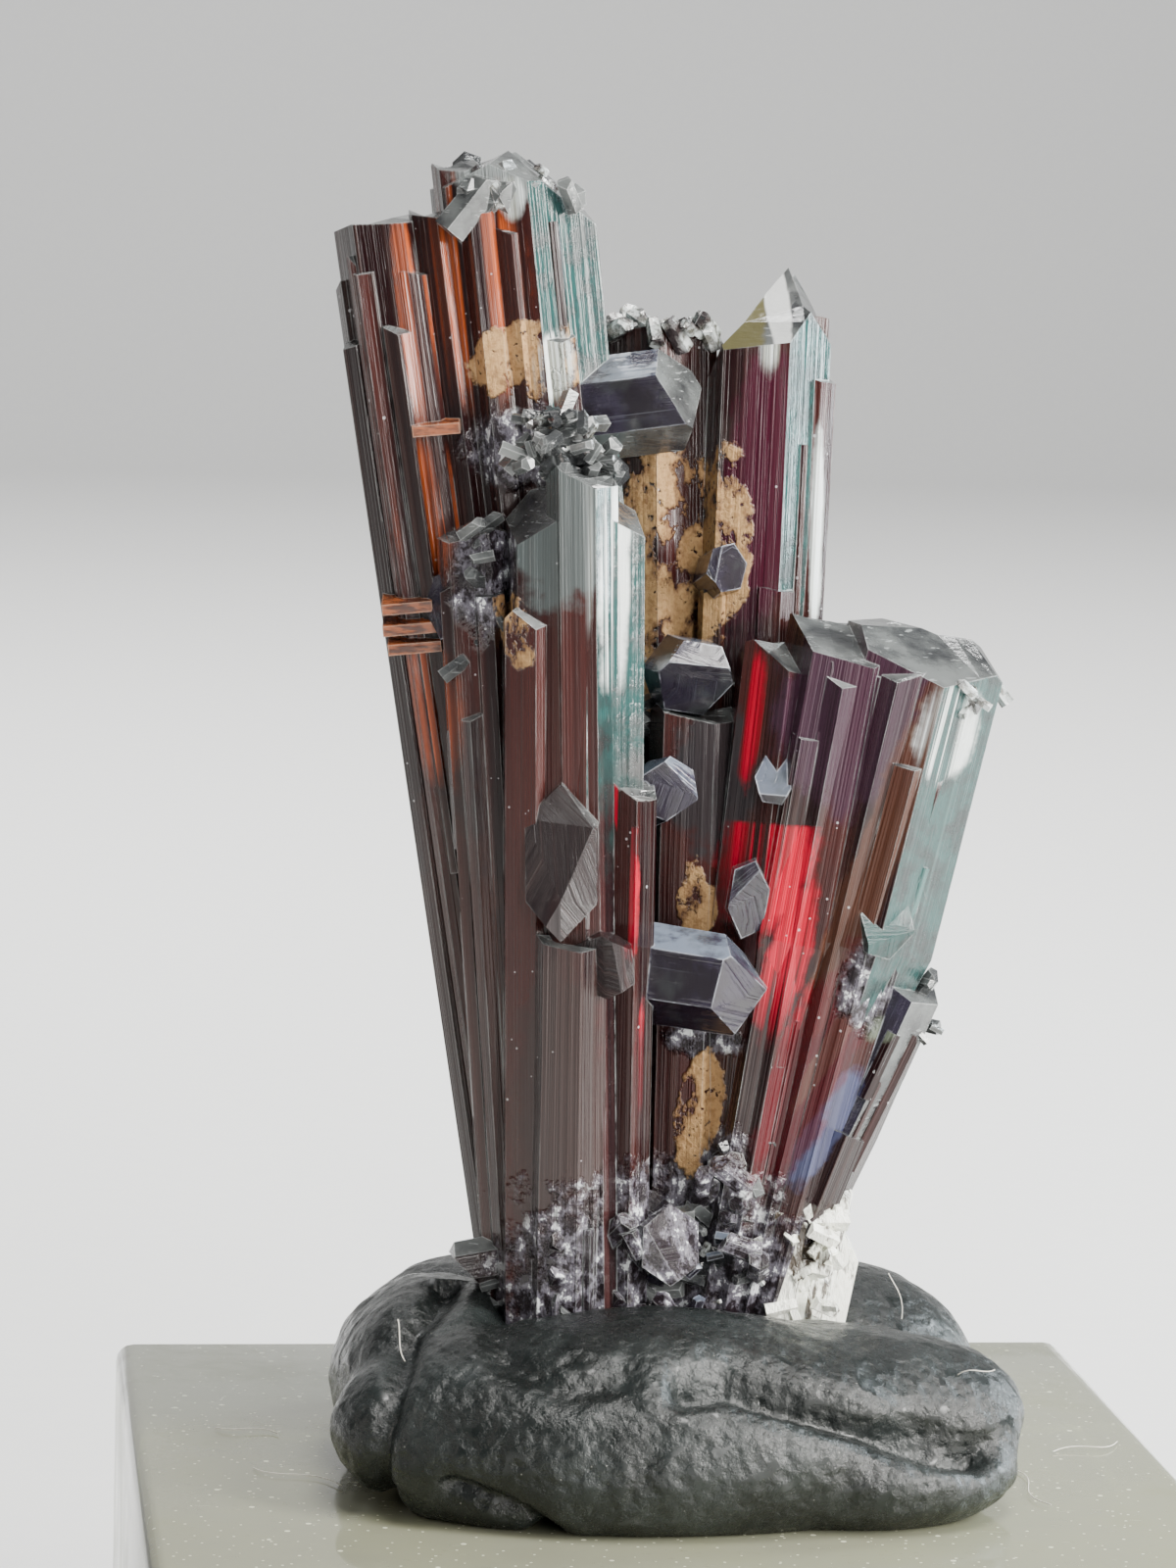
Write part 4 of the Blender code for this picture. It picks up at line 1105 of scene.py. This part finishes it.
class SPECIMEN_OT_block(bpy.types.Operator):
    """Make the clear display block with its rounded edges"""

    bl_idname = "specimen.block"
    bl_label = "Block"

    def execute(self, context):
        middle = (BLOCK_LOW + BLOCK_HIGH) / 2
        bpy.ops.mesh.primitive_cube_add(size=1.0, location=middle, scale=BLOCK_HIGH - BLOCK_LOW)
        block = bpy.context.object
        bpy.ops.object.transform_apply()
        block.name = "acrylic_block"
        mode("EDIT")
        bpy.ops.mesh.select_all(action="SELECT")
        bpy.ops.mesh.bevel(offset=sizes().block_edge, segments=4, affect="EDGES")
        mode("OBJECT")
        bpy.ops.object.shade_smooth_by_angle(angle=math.radians(40))
        block.data.materials.append(acrylic_finish())
        carry(block, "display_block")
        return {"FINISHED"}


# Dust fibres: where each starts and ends, and the two points that it curves towards.
FIBRES = (
    ((5.7, -5.0, 4.6), (5.75, -5.1, 5.2), (5.5, -5.2, 5.4), (5.35, -5.1, 5.7)),
    ((-6.1, -5.5, 4.4), (-6.0, -5.9, 4.2), (-6.1, -6.0, 3.8), (-5.9, -5.9, 3.5)),
    ((7.0, -5.2, 3.3), (7.3, -5.6, 3.7), (7.6, -5.5, 3.4), (7.9, -5.3, 3.5)),
    ((-9.6, -2.6, 0.05), (-9.0, -4.0, 0.12), (-8.2, -2.4, 0.05), (-7.4, -4.3, 0.1)),
    ((8.7, -0.8, 0.05), (9.6, -2.0, 0.1), (8.4, -3.2, 0.05), (9.4, -4.5, 0.1)),
    ((9.9, 1.0, 0.05), (10.6, 2.0, 0.15), (11.2, 0.6, 0.1), (11.6, 2.2, 0.06)),
    ((-10.8, 1.4, 0.05), (-10.2, 0.6, 0.12), (-9.8, 1.8, 0.1), (-9.2, 0.9, 0.05)),
)


class SPECIMEN_OT_fibres(bpy.types.Operator):
    """Lay a few dust fibres on the putty and the block"""

    bl_idname = "specimen.fibres"
    bl_label = "Dust fibres"

    def execute(self, context):
        fibres = []
        for start, first, second, end in FIBRES:
            bpy.ops.curve.primitive_bezier_curve_add()
            fibre = bpy.context.object
            low, high = fibre.data.splines[0].bezier_points
            for point in (low, high):
                point.handle_left_type = point.handle_right_type = "FREE"
            low.co, low.handle_right = (SPECIMEN @ (Vector(place) * MM) for place in (start, first))
            high.co, high.handle_left = (SPECIMEN @ (Vector(place) * MM) for place in (end, second))
            low.handle_left, high.handle_right = low.co, high.co
            fibre.data.bevel_depth = sizes().fibre_radius
            fibre.data.bevel_resolution = 1
            fibre.data.use_fill_caps = True
            bpy.ops.object.convert(target="MESH")
            fibres.append(fibre)
        fibres = join(fibres, "dust_fibres")
        skin = Skin("pale dust fibre", (0.75, 0.73, 0.66))
        skin.coat(skin.noise(6.0, 3.0), (0.5, 0.48, 0.42))
        skin.set(Roughness=0.6)
        fibres.data.materials.clear()
        fibres.data.materials.append(skin.material)
        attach(fibres, "root")
        return {"FINISHED"}


# The photograph's view: the camera's place in metres, its turn, tilt down and roll in degrees, and its lens.
VIEW_PLACE = (-0.01743, -0.128, 0.04426)
VIEW_TURN = -6.884
VIEW_TILT = 6.667
VIEW_ROLL = 1.392
VIEW_LENS = 123.75
FRAME_WIDTH, FRAME_HEIGHT = 27.0, 36.0
NEAREST = 0.005
# The floor: its size, the backdrop's height, and the radius of the curve between them, in metres.
FLOOR_SIZE = 1.2
BACKDROP_HEIGHT = 0.7
BACKDROP_CURVE = 0.25
SKY = (0.8, 0.84, 0.9, 1.0)
SKY_STRENGTH = 0.15


def lamp(name, place, target, size, power, colour):
    """A soft lamp with a width and a height, placed and aimed in the specimen's frame, in millimetres."""
    light = bpy.data.lights.new(name, "AREA")
    light.shape = "RECTANGLE"
    light.size = size[0] * MM
    light.size_y = size[1] * MM
    light.energy = power
    light.color = colour
    thing = bpy.data.objects.new(name, light)
    bpy.context.scene.collection.objects.link(thing)
    place, target = SPECIMEN @ (Vector(place) * MM), SPECIMEN @ (Vector(target) * MM)
    aim = (target - place).to_track_quat("-Z", "Y").to_matrix().to_4x4()
    thing.matrix_world = Matrix.Translation(place) @ aim


class SPECIMEN_OT_stage(bpy.types.Operator):
    """Set up the pale floor, the lamps and the camera"""

    bl_idname = "specimen.stage"
    bl_label = "Stage"

    def execute(self, context):
        self.floor()
        self.lamps()
        self.camera()
        return {"FINISHED"}

    def floor(self):
        """A plain floor that curves up into a backdrop."""
        bpy.ops.mesh.primitive_plane_add(size=FLOOR_SIZE)
        floor = bpy.context.object
        floor.name = "pale_floor"
        paper = Skin("pale paper", colours().backdrop)
        grain = paper.noise(900.0, 3.0, where=paper.object_place)
        paper.coat(paper.step(grain, 0.4, 0.6, 0.0, 0.06), (0.6, 0.6, 0.6))
        paper.set(Roughness=0.8)
        floor.data.materials.append(paper.material)
        mode("EDIT")
        back = FLOOR_SIZE / 2 - 0.1
        select_where(floor, "edges", lambda e: all(v.co.y > back for v in e.verts))
        bpy.ops.mesh.extrude_region_move(TRANSFORM_OT_translate={"value": (0, 0, BACKDROP_HEIGHT)})
        select_where(floor, "edges", lambda e: all(v.co.y > back and v.co.z < 0.1 for v in e.verts))
        bpy.ops.mesh.bevel(offset=BACKDROP_CURVE, segments=16, affect="EDGES")
        mode("OBJECT")
        bpy.ops.object.shade_smooth()

    def lamps(self):
        world = bpy.data.worlds.new("studio")
        bpy.context.scene.world = world
        world.use_nodes = True
        light = world.node_tree.nodes["Background"].inputs
        light["Color"].default_value = SKY
        light["Strength"].default_value = SKY_STRENGTH
        lamp("key", (150, -90, 75), (0, 0, 14), (50, 150), 1.0, (1.0, 0.98, 0.94))
        lamp("top", (40, -60, 210), (0, 0, 12), (90, 90), 0.55, (1.0, 0.98, 0.95))
        lamp("strip", (52, -165, 60), (0, 0, 14), (14, 120), 0.16, (1.0, 0.98, 0.95))
        lamp("rim", (140, 80, 60), (0, 0, 16), (40, 120), 0.4, (0.85, 0.95, 1.0))
        lamp("left", (-170, -60, 90), (0, 0, 14), (60, 60), 0.05, (1.0, 0.9, 0.82))
        lamp("backdrop", (0, 150, 260), (0, 420, 60), (160, 160), 2.2, (1.0, 1.0, 1.0))

    def camera(self):
        lens = bpy.data.cameras.new("view")
        lens.sensor_fit = "VERTICAL"
        lens.sensor_height = FRAME_HEIGHT
        lens.sensor_width = FRAME_WIDTH
        lens.lens = VIEW_LENS
        lens.clip_start = NEAREST
        thing = bpy.data.objects.new("view", lens)
        bpy.context.scene.collection.objects.link(thing)
        turn = Matrix.Rotation(math.radians(VIEW_TURN), 4, "Z")
        tilt = Matrix.Rotation(math.radians(90 - VIEW_TILT), 4, "X")
        roll = Matrix.Rotation(math.radians(VIEW_ROLL), 4, "Z")
        thing.matrix_world = Matrix.Translation(VIEW_PLACE) @ turn @ tilt @ roll
        bpy.context.scene.camera = thing


class SPECIMEN_PT_panel(bpy.types.Panel):
    bl_label = "Proustite specimen"
    bl_space_type = "VIEW_3D"
    bl_region_type = "UI"
    bl_category = "Specimen"

    def draw(self, context):
        for group in (context.scene.specimen_sizes, context.scene.specimen_colours):
            for key in group.__annotations__:
                self.layout.prop(group, key)
        for operator in OPERATORS:
            self.layout.operator(operator.bl_idname)


OPERATORS = (SPECIMEN_OT_crystals, SPECIMEN_OT_putty, SPECIMEN_OT_block, SPECIMEN_OT_fibres,
             SPECIMEN_OT_stage)
CLASSES = (SpecimenSizes, SpecimenColours, *OPERATORS, SPECIMEN_PT_panel)


def register():
    for item in CLASSES:
        bpy.utils.register_class(item)
    bpy.types.Scene.specimen_sizes = bpy.props.PointerProperty(type=SpecimenSizes)
    bpy.types.Scene.specimen_colours = bpy.props.PointerProperty(type=SpecimenColours)


def unregister():
    del bpy.types.Scene.specimen_colours
    del bpy.types.Scene.specimen_sizes
    for item in reversed(CLASSES):
        bpy.utils.unregister_class(item)


def main():
    register()
    bpy.ops.specimen.crystals()
    bpy.ops.specimen.putty()
    bpy.ops.specimen.block()
    bpy.ops.specimen.fibres()
    bpy.ops.specimen.stage()


if __name__ == "__main__":
    main()
